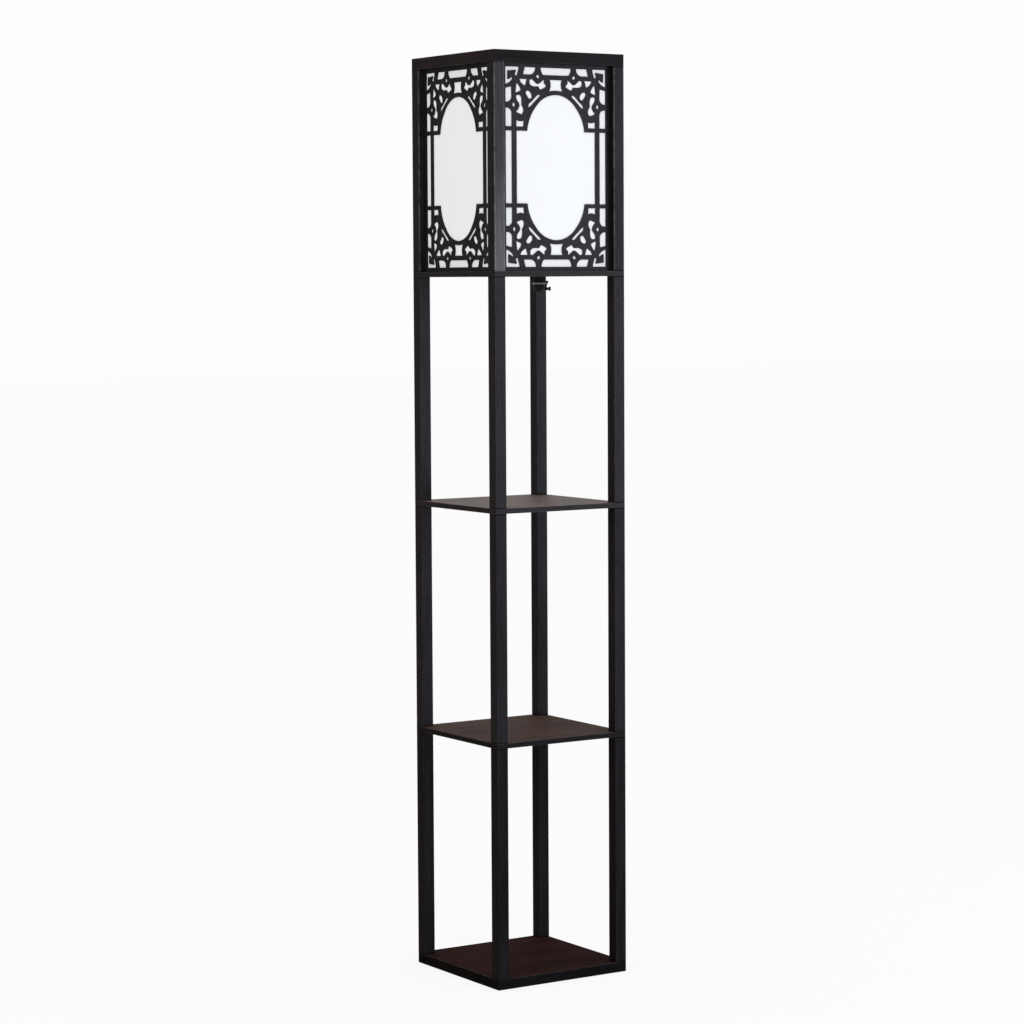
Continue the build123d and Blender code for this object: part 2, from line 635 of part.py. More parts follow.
def holder_cap():
    """The bowl-shaped cap with the key's boss and the latch on one side and the cord inlet below."""
    rim, foot, turn = bowl_radii()
    shoulder = COLLAR_Z - CAP_RIM_HEIGHT
    rise = shoulder - CAP_Z
    waist = CAP_Z + rise * (1 - math.cos(math.radians(CAP_BOWL_ANGLE)))
    bowl = turned(
        (INLET_DIAMETER / 2, CAP_Z), (foot, CAP_Z), ((turn, waist), (rim, shoulder)), (rim, COLLAR_Z),
        (rim - CAP_WALL, COLLAR_Z), (rim - CAP_WALL, shoulder),
        ((turn - CAP_WALL, waist + CAP_WALL / 2), (foot - CAP_WALL / 2, CAP_Z + CAP_WALL)),
        (INLET_DIAMETER / 2, CAP_Z + CAP_WALL),
    )
    hollow = turned(
        (0, CAP_Z + CAP_WALL), (foot - CAP_WALL / 2, CAP_Z + CAP_WALL),
        ((turn - CAP_WALL, waist + CAP_WALL / 2), (rim - CAP_WALL, shoulder)),
        (rim - CAP_WALL, COLLAR_Z), (0, COLLAR_Z),
    )
    boss = cross_rod(HOLDER_OFFSET, HOLDER_OFFSET + KEY_BOSS_REACH, 0, KEY_Z, KEY_BOSS_DIAMETER)
    boss += cap_latch()
    bore = KEY_SHAFT_DIAMETER + 2 * KEY_RUNNING_CLEARANCE
    passage = cross_rod(HOLDER_OFFSET, HOLDER_OFFSET + KEY_BOSS_REACH, 0, KEY_Z, bore)
    nodes["holder_cap"] = bowl + (boss - hollow) - passage


def cord_inlet_bushing():
    """The flanged bushing in the cap's foot that the cord enters by."""
    bore = INLET_BORE / 2
    neck = INLET_DIAMETER / 2
    flange = INLET_FLANGE_DIAMETER / 2
    low = CAP_Z - INLET_FLANGE_HEIGHT
    nodes["cord_inlet_bushing"] = turned(
        (bore, low), (flange, low), (flange, CAP_Z), (neck, CAP_Z), (neck, CAP_Z + CAP_WALL),
        (bore, CAP_Z + CAP_WALL),
    )


def lug_place():
    """How far from the holder's axis the inner face of each rotor lug stands."""
    return ROTOR_LENGTH / 2 + ROTOR_CLEARANCE


def holder_block():
    """The insulating block: a barrel in the sleeve, a spigot in the collar and two lugs for the rotor."""
    body = rod(HOLDER_OFFSET, 0, SLEEVE_Z, BLOCK_TOP_Z, SLEEVE_BORE - 2 * BLOCK_CLEARANCE)
    body += rod(HOLDER_OFFSET, 0, COLLAR_Z, SLEEVE_Z, COLLAR_BORE - 2 * BLOCK_CLEARANCE)
    inner = lug_place()
    for x_side in (-1, 1):
        middle = HOLDER_OFFSET + x_side * (inner + LUG_THICKNESS / 2)
        body += block(
            (middle - LUG_THICKNESS / 2, -LUG_WIDTH / 2, KEY_Z - LUG_WIDTH / 2),
            (middle + LUG_THICKNESS / 2, LUG_WIDTH / 2, COLLAR_Z),
        )
    reach = inner + LUG_THICKNESS
    bore = KEY_SHAFT_DIAMETER + 2 * KEY_RUNNING_CLEARANCE
    body -= cross_rod(HOLDER_OFFSET - reach, HOLDER_OFFSET + reach, 0, KEY_Z, bore)
    shank_foot = BLOCK_TOP_Z - CONTACT_SHANK_LENGTH
    nodes["holder_block"] = body - rod(HOLDER_OFFSET, 0, shank_foot, BLOCK_TOP_Z, CONTACT_SHANK_DIAMETER)


def centre_contact():
    """The rivet-shaped contact in the middle of the block."""
    head_top = BLOCK_TOP_Z + CONTACT_HEAD_HEIGHT
    rivet = rod(HOLDER_OFFSET, 0, BLOCK_TOP_Z - CONTACT_SHANK_LENGTH, BLOCK_TOP_Z, CONTACT_SHANK_DIAMETER)
    rivet += rod(HOLDER_OFFSET, 0, BLOCK_TOP_Z, head_top, CONTACT_HEAD_DIAMETER)
    rivet += rod(HOLDER_OFFSET, 0, head_top, BULB_Z, CONTACT_BUTTON_DIAMETER)
    nodes["holder_centre_contact"] = rivet


def screw_shell():
    """The thin metal cup that the bulb's cap screws into."""
    outer = SHELL_DIAMETER / 2
    inner = outer - SHELL_WALL
    floor_hole = CONTACT_HEAD_DIAMETER / 2 + SHELL_FLOOR_CLEARANCE
    floor = BLOCK_TOP_Z + SHELL_WALL
    rim = BLOCK_TOP_Z + SHELL_HEIGHT
    nodes["holder_screw_shell"] = turned(
        (floor_hole, BLOCK_TOP_Z), (outer, BLOCK_TOP_Z), (outer, rim), (inner, rim), (inner, floor),
        (floor_hole, floor),
    )


def turn_key():
    """The key: a shaft through the cap's boss, a flange and a waisted paddle; the rotor turns with it."""
    shaft_end = lug_place() + LUG_THICKNESS
    flange_start = KEY_BOSS_REACH + KEY_FLANGE_GAP
    flange_end = flange_start + KEY_FLANGE_THICKNESS
    key = cross_rod(HOLDER_OFFSET - shaft_end, HOLDER_OFFSET + flange_end, 0, KEY_Z, KEY_SHAFT_DIAMETER)
    key += cross_rod(
        HOLDER_OFFSET + flange_start, HOLDER_OFFSET + flange_end, 0, KEY_Z, KEY_FLANGE_DIAMETER
    )
    waist = KEY_WAIST_HEIGHT / 2
    grip = KEY_PADDLE_HEIGHT / 2
    widening = KEY_WAIST_LENGTH + KEY_PADDLE_SLOPE
    shape = outline(
        (0, -waist), (KEY_WAIST_LENGTH, -waist), (widening, -grip), (KEY_PADDLE_LENGTH, -grip),
        (KEY_PADDLE_LENGTH, grip), (widening, grip), (KEY_WAIST_LENGTH, waist), (0, waist),
    )
    paddle = extrude(Plane.XZ * make_face(shape), KEY_PADDLE_THICKNESS / 2, both=True)
    tip = paddle.faces().sort_by(Axis.X)[-1]
    paddle = fillet(tip.edges().filter_by(Axis.Y), KEY_PADDLE_TIP_ROUND)
    key += Pos(HOLDER_OFFSET + flange_end, 0, KEY_Z) * paddle
    low = HOLDER_OFFSET - ROTOR_LENGTH / 2
    high = HOLDER_OFFSET + ROTOR_LENGTH / 2
    nodes["switch_key"] = key
    nodes["switch_rotor"] = cross_rod(low, high, 0, KEY_Z, ROTOR_DIAMETER) - cross_rod(
        low, high, 0, KEY_Z, KEY_SHAFT_DIAMETER
    )


# ---- bulb ----
def bulb():
    """The bulb from its tip contact up: insulator, screw cap, neck, LED board and globe."""
    tip = TIP_DIAMETER / 2
    tip_rise = (tip * TIP_TURN_SHARE, BULB_Z + TIP_HEIGHT * TIP_RISE_SHARE)
    cap = SCREW_CAP_DIAMETER / 2
    cap_bore = cap - SCREW_CAP_WALL
    lip = cap_bore - SCREW_CAP_WALL
    floor_z = SCREW_CAP_Z + SCREW_CAP_WALL
    nodes["bulb_tip_contact"] = turned(
        (0, BULB_Z), (tip_rise, (tip, INSULATOR_Z)), (0, INSULATOR_Z)
    )
    nodes["bulb_insulator"] = turned(
        (0, INSULATOR_Z), (tip, INSULATOR_Z), (cap_bore, SCREW_CAP_Z), (0, SCREW_CAP_Z)
    )
    nodes["bulb_screw_cap"] = turned(
        (lip, SCREW_CAP_Z), (cap, SCREW_CAP_Z), (cap, NECK_Z), (cap_bore, NECK_Z),
        (cap_bore, floor_z), (lip, floor_z),
    )
    nodes["bulb_neck"] = bulb_neck(cap, cap_bore, floor_z)
    nodes["bulb_globe"] = globe()
    nodes["bulb_led_board"] = led_board()


def bulb_neck(cap, cap_bore, floor_z):
    """The flared neck: a tube in the screw cap, a flare, and a rim with a ledge for the LED board."""
    rim = NECK_DIAMETER / 2
    flare_z = NECK_Z + NECK_STEM_HEIGHT
    ledge_z = GLOBE_Z - LED_BOARD_THICKNESS
    waist = (cap + rim) / 2 - NECK_WALL
    waist_z = (flare_z + ledge_z) / 2
    bore = cap_bore - NECK_WALL
    return turned(
        (bore, floor_z), (cap_bore, floor_z), (cap_bore, NECK_Z), (cap, NECK_Z), (cap, flare_z),
        ((waist, waist_z), (rim, ledge_z)), (rim, GLOBE_Z), (rim - NECK_WALL, GLOBE_Z),
        (rim - NECK_WALL, ledge_z), (rim - 2 * NECK_WALL, ledge_z),
        ((waist - NECK_WALL, waist_z), (bore, flare_z)),
    )


def globe():
    """The opal globe: a thin sphere cut open where it stands on the neck's rim."""
    radius = GLOBE_DIAMETER / 2
    rim = NECK_DIAMETER / 2 - GLOBE_LAP
    middle = GLOBE_Z + math.sqrt(radius**2 - rim**2)
    ball = Sphere(radius) - Sphere(radius - GLOBE_WALL)
    below = block((-radius, -radius, -radius), (radius, radius, GLOBE_Z - middle))
    return Pos(HOLDER_OFFSET, 0, middle) * (ball - below)


def led_board():
    """The round board inside the neck's rim, with a ring of light chips."""
    radius = NECK_DIAMETER / 2 - NECK_WALL - LED_BOARD_CLEARANCE
    low = GLOBE_Z - LED_BOARD_THICKNESS
    plate = rod(0, 0, low, GLOBE_Z, 2 * radius)
    chip = Pos(radius * LED_RING_SHARE, 0, GLOBE_Z + LED_HEIGHT / 2) * Box(LED_SIDE, LED_SIDE, LED_HEIGHT)
    for place in range(LED_COUNT):
        plate += Rot(0, 0, 360 * place / LED_COUNT) * chip
    return Pos(HOLDER_OFFSET, 0, 0) * plate


# ---- the whole lamp ----
def build():
    """Makes every node."""
    base_board()
    nodes["lower_shelf"] = board(LOWER_SHELF_Z, SHELF_THICKNESS)
    nodes["upper_shelf"] = board(UPPER_SHELF_Z, SHELF_THICKNESS)
    shade_bottom_board()
    plain_posts("lower", BASE_THICKNESS, LOWER_POST_LENGTH)
    plain_posts("middle", LOWER_SHELF_Z + SHELF_THICKNESS, MIDDLE_POST_LENGTH)
    plain_posts("upper", UPPER_SHELF_Z + SHELF_THICKNESS, UPPER_POST_LENGTH)
    shade_posts()
    top_rails()
    panels()
    nodes["post_inserts"] = Compound(children=post_inserts())
    nodes["shelf_studs"] = Compound(children=shelf_studs())
    nodes["base_bolts"] = Compound(children=base_bolts())
    nodes["top_frame_dowels"] = Compound(children=[post_dowel(x, y) for x, y in corners_of(POST_CENTRE)])
    nodes["rail_corner_dowels"] = Compound(children=[corner_dowel(*sides) for sides in CORNERS.values()])
    holder_bracket()
    holder_sleeve()
    holder_collar()
    holder_cap()
    cord_inlet_bushing()
    holder_block()
    centre_contact()
    screw_shell()
    turn_key()
    bulb()


build()
os.makedirs("parts", exist_ok=True)
for name, shape in nodes.items():
    export_step(shape, f"parts/{name}.step")
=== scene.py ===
import logging
import math
from collections.abc import Callable, Sequence
from dataclasses import dataclass
from enum import Enum

import bmesh
import bpy
import numpy as np
from mathutils import Matrix, Vector


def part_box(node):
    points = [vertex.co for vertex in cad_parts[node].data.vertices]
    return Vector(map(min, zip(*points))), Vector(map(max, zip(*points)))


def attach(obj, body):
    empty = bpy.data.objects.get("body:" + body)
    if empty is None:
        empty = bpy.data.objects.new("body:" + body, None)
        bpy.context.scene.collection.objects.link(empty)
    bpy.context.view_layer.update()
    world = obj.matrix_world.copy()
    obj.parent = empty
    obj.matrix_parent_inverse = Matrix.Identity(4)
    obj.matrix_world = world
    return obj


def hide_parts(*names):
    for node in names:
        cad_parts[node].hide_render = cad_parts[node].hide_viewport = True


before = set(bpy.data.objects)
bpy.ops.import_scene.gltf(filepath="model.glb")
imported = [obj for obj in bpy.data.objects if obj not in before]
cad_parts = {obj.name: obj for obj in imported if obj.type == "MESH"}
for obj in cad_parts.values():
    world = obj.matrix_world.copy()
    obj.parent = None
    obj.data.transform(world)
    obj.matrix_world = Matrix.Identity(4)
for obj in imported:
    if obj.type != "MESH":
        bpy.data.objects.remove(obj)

log = logging.getLogger("shelf_floor_lamp")

Array = np.ndarray
Colour = tuple[float, float, float]
Point = tuple[float, float, float]
Swell = Callable[[Array, Array, Array], Array]

CORNERS = ("front_left", "front_right", "back_left", "back_right")
SIDES = ("front", "right", "back", "left")
MM = 0.001
FULL_TURN = 2.0 * math.pi
E14_PITCH = 2.822 * MM
SMOOTH_ANGLE = 32.0
FLAT_ANGLE = 0.6
CAD_MERGE = 2e-6
GRID_MERGE = 1e-7
FINE = 0.25 * MM
WHITE: Colour = (1.0, 1.0, 1.0)


# ---- shader graph
class Value:
    """A number, colour or vector that varies over a surface. Arithmetic on numbers adds Math nodes."""

    def __init__(self, graph: "Graph", socket: bpy.types.NodeSocket) -> None:
        """Keeps the graph and the output socket that gives the value."""
        self.graph = graph
        self.socket = socket

    def _math(self, operation: str, *terms: "Value | float") -> "Value":
        """The result of a Math node with this operation on these terms."""
        return self.graph.add("ShaderNodeMath", {"operation": operation}, dict(enumerate(terms)))

    def __add__(self, other: "Value | float") -> "Value":
        """Sum."""
        return self._math("ADD", self, other)

    __radd__ = __add__

    def __sub__(self, other: "Value | float") -> "Value":
        """Difference."""
        return self._math("SUBTRACT", self, other)

    def __rsub__(self, other: "Value | float") -> "Value":
        """Reflected difference, so that 1 - mask works."""
        return self._math("SUBTRACT", other, self)

    def __mul__(self, other: "Value | float") -> "Value":
        """Product."""
        return self._math("MULTIPLY", self, other)

    __rmul__ = __mul__

    def __truediv__(self, other: "Value | float") -> "Value":
        """Quotient."""
        return self._math("DIVIDE", self, other)

    def __abs__(self) -> "Value":
        """Size without its sign."""
        return self._math("ABSOLUTE", self)

    def least(self, other: "Value | float") -> "Value":
        """The smaller of two values."""
        return self._math("MINIMUM", self, other)

    def most(self, other: "Value | float") -> "Value":
        """The larger of two values."""
        return self._math("MAXIMUM", self, other)

    def between(self, low: float, high: float) -> "Value":
        """A smooth step from 0 at low to 1 at high."""
        sockets = {"Value": self, "From Min": low, "From Max": high}
        return self.graph.add("ShaderNodeMapRange", {"interpolation_type": "SMOOTHSTEP"}, sockets)


class Graph:
    """The node tree of one material or of the world."""

    def __init__(self, owner: bpy.types.Material | bpy.types.World) -> None:
        """Empties the owner's tree."""
        owner.use_nodes = True
        self.tree = owner.node_tree
        self.tree.nodes.clear()

    @staticmethod
    def _find(sockets: bpy.types.bpy_prop_collection, key: int | str) -> bpy.types.NodeSocket:
        """A socket by its index, its identifier or its name."""
        if isinstance(key, int):
            return sockets[key]
        return {socket.identifier: socket for socket in sockets}.get(key) or sockets[key]

    def add(
        self,
        kind: str,
        settings: dict[str, object],
        sockets: dict[int | str, object],
        output: int | str = 0,
    ) -> Value:
        """Adds any node.

        Args:
            kind: the node's type.
            settings: its own properties, set before its sockets.
            sockets: values or links of its inputs, by index, identifier or name.
            output: the output that is wanted.

        Returns:
            That output.
        """
        node = self.tree.nodes.new(kind)
        for name, value in settings.items():
            setattr(node, name, value)
        for key, value in sockets.items():
            socket = self._find(node.inputs, key)
            if isinstance(value, Value):
                self.tree.links.new(value.socket, socket)
            elif isinstance(value, tuple) and socket.type == "RGBA":
                socket.default_value = (*value, 1.0)
            else:
                socket.default_value = value
        return Value(self, self._find(node.outputs, output))

    def place(self, scale: Point = (1, 1, 1), offset: Point = (0, 0, 0)) -> Value:
        """Object coordinates, stretched and then moved."""
        here = self.add("ShaderNodeTexCoord", {}, {}, "Object")
        return self.add("ShaderNodeMapping", {}, {"Vector": here, "Scale": scale, "Location": offset})

    def axis(self, letter: str) -> Value:
        """One object coordinate, X, Y or Z, in metres."""
        here = self.add("ShaderNodeTexCoord", {}, {}, "Object")
        return self.add("ShaderNodeSeparateXYZ", {}, {0: here}, letter)

    def noise(
        self, scale: float, detail: float = 3.0, warp: float = 0.0, place: Value | None = None
    ) -> Value:
        """Noise from 0 to 1, by features in a metre, octaves, distortion and coordinates."""
        sockets = {"Vector": place or self.place(), "Scale": scale, "Detail": detail, "Distortion": warp}
        return self.add("ShaderNodeTexNoise", {"noise_dimensions": "3D"}, sockets, "Fac")

    def mix(self, a: "Value | Colour", b: "Value | Colour", share: Value, blend: str = "MIX") -> Value:
        """The colour a where share is 0; where it is 1, b, or the blend of both."""
        settings = {"data_type": "RGBA", "blend_type": blend}
        sockets = {"Factor_Float": share, "A_Color": a, "B_Color": b}
        return self.add("ShaderNodeMix", settings, sockets, "Result_Color")

    def seen(self) -> Value:
        """1 for what is looked at directly, in metal or through glass, 0 for light on surfaces."""
        rays = ("Is Camera Ray", "Is Glossy Ray", "Is Transmission Ray")
        camera, metal, glass = (self.add("ShaderNodeLightPath", {}, {}, name) for name in rays)
        return camera.most(metal).most(glass)

    def bump(self, height: Value, strength: float, distance: float) -> Value:
        """Normals bent by a share, strength, of a height whose 1 is really distance, in metres."""
        sockets = {"Strength": strength, "Distance": distance, "Height": height}
        return self.add("ShaderNodeBump", {}, sockets)

    def surface(self, colour: Value, roughness: Value, normal: Value, others: dict[str, object]) -> None:
        """Ends the tree with a Principled shader that has these values and links."""
        varied = {"Base Color": colour, "Roughness": roughness, "Normal": normal}
        self.end(self.add("ShaderNodeBsdfPrincipled", {}, varied | others))

    def end(self, shader: Value, kind: str = "ShaderNodeOutputMaterial") -> None:
        """Joins a shader to the tree's output."""
        end = self.tree.nodes.new(kind)
        self.tree.links.new(shader.socket, end.inputs["Surface"])


# ---- finishes
class Grain(Enum):
    """Which way the wood grain runs; the value squeezes coordinates along it."""

    ALONG_X = (0.035, 1.0, 1.0)
    ALONG_Y = (1.0, 0.035, 1.0)
    ALONG_Z = (1.0, 1.0, 0.035)


@dataclass(frozen=True)
class Finish:
    """A named finish. Its material is made once."""

    name: str

    def material(self) -> bpy.types.Material:
        """The material, made if it isn't there yet.

        Returns:
            The one material of this name.
        """
        made = bpy.data.materials.get(self.name)
        if made is None:
            made = bpy.data.materials.new(self.name)
            self.paint(Graph(made))
        return made

    def paint(self, graph: Graph) -> None:
        """Fills the material's empty graph."""
        raise NotImplementedError


@dataclass(frozen=True)
class PostEdges:
    """The long edges of the corner posts, where the lacquer has rubbed and a painted highlight lies, and
    the joints at their ends.
    """

    centre: float
    half: float
    low: float
    high: float
    reach: float = 1.1 * MM
    joint: float = 2.2 * MM

    def rubbed(self, graph: Graph) -> Value:
        """1 on a post's long edges, from the smaller distance from its middle planes; less on the sides, so
        that the painted highlight that this mask also carries lies mostly on the front and back.
        """
        dx, dy = self.distances(graph)
        return dx.least(dy).between(self.half - self.reach, self.half) * (1.0 - self.cross(graph) * 0.75)

    def cross(self, graph: Graph) -> Value:
        """1 on the faces towards left and right, 0 on the others."""
        dx, dy = self.distances(graph)
        return (dx - dy).between(-0.1 * MM, 0.1 * MM)

    def distances(self, graph: Graph) -> tuple[Value, Value]:
        """Distances from a post's own two middle planes."""
        return abs(abs(graph.axis("X")) - self.centre), abs(abs(graph.axis("Y")) - self.centre)

    def seam(self, graph: Graph) -> Value:
        """1 in the narrow gap at either end."""
        z = graph.axis("Z")
        return 1.0 - abs(z - self.low).least(abs(z - self.high)).between(self.joint / 2, self.joint)


@dataclass(frozen=True)
class BoardEdges:
    """The outer rims of a board or of the frame on top."""

    half_width: float
    middle: float
    half_height: float
    reach: float = 1.2 * MM
    skin: float = 0.3 * MM

    def rubbed(self, graph: Graph) -> Value:
        """1 on the rims: near the outside in plan and near the upper or lower face at once."""
        rise = abs(graph.axis("Z") - self.middle)
        near_side = self.outwards(graph).between(self.half_width - self.reach, self.half_width)
        return near_side * rise.between(self.half_height - self.reach, self.half_height)

    def side(self, graph: Graph) -> Value:
        """1 on the outer sides, 0 on the faces and inside."""
        return self.outwards(graph).between(self.half_width - self.skin, self.half_width - self.skin / 3)

    @staticmethod
    def cross(graph: Graph) -> Value:
        """1 where the outside faces left or right, 0 where it faces front or back."""
        return (abs(graph.axis("X")) - abs(graph.axis("Y"))).between(-0.1 * MM, 0.1 * MM)

    @staticmethod
    def outwards(graph: Graph) -> Value:
        """The larger distance from the two upright middle planes."""
        return abs(graph.axis("X")).most(abs(graph.axis("Y")))


@dataclass(frozen=True)
class StainedWood(Finish):
    """Dark stained wood under a matt lacquer: tone bands, fibres, open pores and rubbed edges, with painted
    shade as a tint on the faces towards left and right and a painted highlight on the edges.
    """

    grain: Grain
    dark: Colour
    light: Colour
    shift: float = 0.0
    roughness: float = 0.5
    gloss: float = 0.08
    edges: PostEdges | BoardEdges | None = None
    # Colour of rubbed edges, lighter than the wood: real rubbing and a painted highlight.
    worn_and_glint: Colour = (0.12, 0.116, 0.12)
    wear_and_glint: float = 0.4
    side: Colour | None = None
    side_roughness: float = 0.36
    # Tint of the faces towards left and right: painted shade, and painted light where it is above 1.
    painted_side_light: Colour = (0.6, 0.44, 0.32)
    cross_matt: float = 0.36
    gap: Colour = (0.001, 0.001, 0.001)
    sheen: Colour = (0.9, 0.87, 1.0)

    def paint(self, graph: Graph) -> None:
        """Fibres and pores are noise drawn out along the grain; rubbed edges, which also carry a painted
        highlight, are noise on the edge mask; painted side shade is a tint on the faces towards left and
        right.
        """
        moved = (self.shift, self.shift * 0.7, self.shift * 1.3)
        along = graph.place(self.grain.value, moved)
        here = graph.place(offset=moved)
        bands = graph.noise(34.0, 3.0, 0.6, along)
        fibres = graph.noise(420.0, 5.0, 0.2, along)
        pores = graph.noise(1100.0, 2.0, 0.1, along).between(0.6, 0.7)
        cloud = graph.noise(7.0, 4.0, place=here)
        tone = (bands * 0.4 + fibres * 0.4 + cloud * 0.2).between(0.36, 0.64)
        colour = graph.mix(self.dark, self.light, tone)
        colour = graph.mix(colour, scaled(self.dark, 0.35), pores * 0.8)
        rough = bands * 0.24 + fibres * 0.1 + pores * 0.14 + (self.roughness - 0.17)
        if self.edges is not None:
            cross = self.edges.cross(graph)
            if self.side is not None:
                outer = self.edges.side(graph)
                colour = graph.mix(colour, graph.mix(self.side, scaled(self.side, 2.6), tone), outer)
                rough = rough + outer * (self.side_roughness - self.roughness)
                cross = cross * outer
            # Painted light and shade: faces towards left and right take a tint, darker and warmer on the
            # posts, standing in for their catching less of the key light's sheen.
            colour = graph.mix(colour, self.painted_side_light, cross, "MULTIPLY")
            rough = rough + cross * self.cross_matt
            patches = graph.noise(60.0, 5.0, place=here).between(0.38, 0.62)
            # Rubbed edges are lightened: real rubbing, and on the shade-level posts mostly a painted
            # highlight along the corners.
            worn_and_glint = self.edges.rubbed(graph) * (patches * 0.7 + 0.3) * self.wear_and_glint
            colour = graph.mix(colour, self.worn_and_glint, worn_and_glint)
            rough = rough + worn_and_glint * 0.1
        if isinstance(self.edges, PostEdges):
            seam = self.edges.seam(graph)
            colour = graph.mix(colour, self.gap, seam * 0.9)
            rough = rough + seam * 0.5
        skin = graph.bump(fibres * 0.3 - pores * 0.6, 0.35, 0.12 * MM)
        sheen = {"Specular IOR Level": self.gloss, "Specular Tint": self.sheen}
        graph.surface(colour, rough, skin, sheen | self.topcoat(graph))

    def topcoat(self, graph: Graph) -> dict[str, object]:
        """Sockets of a second, glossier coat; plain wood has none."""
        return {}


@dataclass(frozen=True)
class BloomedWood(StainedWood):
    """Stained wood whose lacquer has a satin bloom that grows towards one height."""

    clear_height: float = 1.46
    bloom_height: float = 1.22
    bloom: float = 1.0
    least_bloom: float = 0.22
    bloom_roughness: float = 0.38
    bloom_tint: Colour = (0.9, 0.94, 1.0)

    def topcoat(self, graph: Graph) -> dict[str, object]:
        """On the front face, the coat's weight rises with nearness to the bloom's height, in streaks."""
        share = (self.clear_height - graph.axis("Z")) / (self.clear_height - self.bloom_height)
        streaks = graph.noise(240.0, place=graph.place((1, 1, 0.06))) * 1.4 + 0.3
        front = 1.0 - self.edges.cross(graph)
        rise = share.between(0.0, 1.0) * (1.0 - self.least_bloom) + self.least_bloom
        return {
            "Coat Weight": (rise * front * streaks * self.bloom).least(1.0),
            "Coat Roughness": self.bloom_roughness,
            "Coat Tint": self.bloom_tint,
        }


@dataclass(frozen=True)
class DiffuserSheet(Finish):
    """White translucent sheet with fine paper-like fibres pressed into it."""

    tint: Colour = (0.905, 0.912, 0.918)
    fibre: Colour = (0.85, 0.858, 0.866)

    def paint(self, graph: Graph) -> None:
        """Threads are two crossed stretched noises; the sheet is slightly uneven under its satin skin."""
        cloud = graph.noise(16.0, 4.0, 0.4)
        level = graph.noise(900.0, 3.0, 1.5, graph.place((0.12, 0.12, 1.0)))
        upright = graph.noise(900.0, 3.0, 1.5, graph.place((1.0, 1.0, 0.12)))
        threads = level.most(upright).between(0.55, 0.75)
        colour = graph.mix(self.tint, self.fibre, threads * 0.35 + cloud * 0.25)
        skin = graph.bump(threads * 0.5 + cloud, 0.12, 0.08 * MM)
        graph.surface(colour, 0.42 + cloud * 0.12, skin, {"Specular IOR Level": 0.3})


@dataclass(frozen=True)
class Metal(Finish):
    """Machined or plated metal with turning lines and small stains."""

    colour: Colour
    dull: Colour
    roughness: float
    lines: Point = (1.0, 1.0, 20.0)

    def paint(self, graph: Graph) -> None:
        """Turning lines are noise squeezed across the axis; stains are broad noise."""
        stains = graph.noise(210.0, 4.0, 0.5)
        turning = graph.noise(320.0, place=graph.place(self.lines))
        colour = graph.mix(self.colour, self.dull, stains.between(0.45, 0.75))
        rough = turning * 0.14 + stains * 0.12 + (self.roughness - 0.12)
        graph.surface(colour, rough, graph.bump(turning, 0.12, 0.04 * MM), {"Metallic": 1.0})


@dataclass(frozen=True)
class Moulded(Finish):
    """Moulded plastic with a fine spark-eroded skin and faint scuffs."""

    colour: Colour
    pale: Colour
    roughness: float
    skin: float = 0.2
    gloss: float = 0.12

    def paint(self, graph: Graph) -> None:
        """The skin is fine noise in the bump; scuffs are broad noise in colour and roughness."""
        scuffs = graph.noise(150.0, 5.0, 0.8).between(0.5, 0.8)
        grains = graph.noise(2600.0, 2.0)
        colour = graph.mix(self.colour, self.pale, scuffs * 0.6 + grains * 0.15)
        skin = graph.bump(grains, self.skin, 0.06 * MM)
        graph.surface(colour, scuffs * 0.16 + self.roughness, skin, {"Specular IOR Level": self.gloss})


@dataclass(frozen=True)
class PowderCoat(Finish):
    """Powder coat on sheet steel: orange-peel skin with tiny sparkle dips."""

    colour: Colour
    pale: Colour

    def paint(self, graph: Graph) -> None:
        """Orange peel is middle noise in the bump; rubbed places are broad noise."""
        peel = graph.noise(900.0, 2.0, 0.4)
        rubbed = graph.noise(45.0, 5.0, 0.6).between(0.52, 0.78)
        colour = graph.mix(self.colour, self.pale, rubbed * 0.5 + peel * 0.2)
        graph.surface(colour, peel * 0.12 + rubbed * 0.12 + 0.36, graph.bump(peel, 0.35, 0.1 * MM), {})


@dataclass(frozen=True)
class Glazed(Finish):
    """Glazed porcelain or opal glass: smooth skin, faint clouds and a few pinholes."""

    colour: Colour
    shade: Colour
    roughness: float
    milk: float = 0.0

    def paint(self, graph: Graph) -> None:
        """Clouds are broad noise; pinholes are the peaks of fine noise."""
        clouds = graph.noise(60.0, 4.0, 0.5)
        pinholes = graph.noise(1500.0, 1.0).between(0.76, 0.8)
        colour = graph.mix(self.colour, self.shade, clouds * 0.5 + pinholes * 0.5)
        rough = clouds * 0.08 + pinholes * 0.2 + self.roughness
        milk = {"Subsurface Weight": self.milk, "Subsurface Radius": (4.0 * MM, 4.0 * MM, 4.0 * MM)}
        glaze = {"Coat Weight": 0.3, "Coat Roughness": 0.08}
        skin = graph.bump(clouds - pinholes * 0.4, 0.1, 0.1 * MM)
        graph.surface(colour, rough, skin, milk | glaze)


@dataclass(frozen=True)
class LightBoard(Finish):
    """Circuit board with a white mask and yellow light chips that stand above its face."""

    face: float
    board: Colour = (0.8, 0.8, 0.77)
    mottled: Colour = (0.66, 0.67, 0.64)
    chip: Colour = (0.78, 0.62, 0.16)

    def paint(self, graph: Graph) -> None:
        """Chips are what stands above the board's face; the mask has fine mottling."""
        above = graph.axis("Z").between(self.face + 0.05 * MM, self.face + 0.2 * MM)
        mottle = graph.noise(700.0, 3.0)
        shade = graph.mix(self.board, self.mottled, mottle * 0.5)
        colour = graph.mix(shade, self.chip, above)
        graph.surface(colour, mottle * 0.15 + 0.34, graph.bump(mottle, 0.12, 0.05 * MM), {})


ZINC_PLATE = Metal("zinc_plate", (0.62, 0.62, 0.6), (0.45, 0.45, 0.42), 0.34)


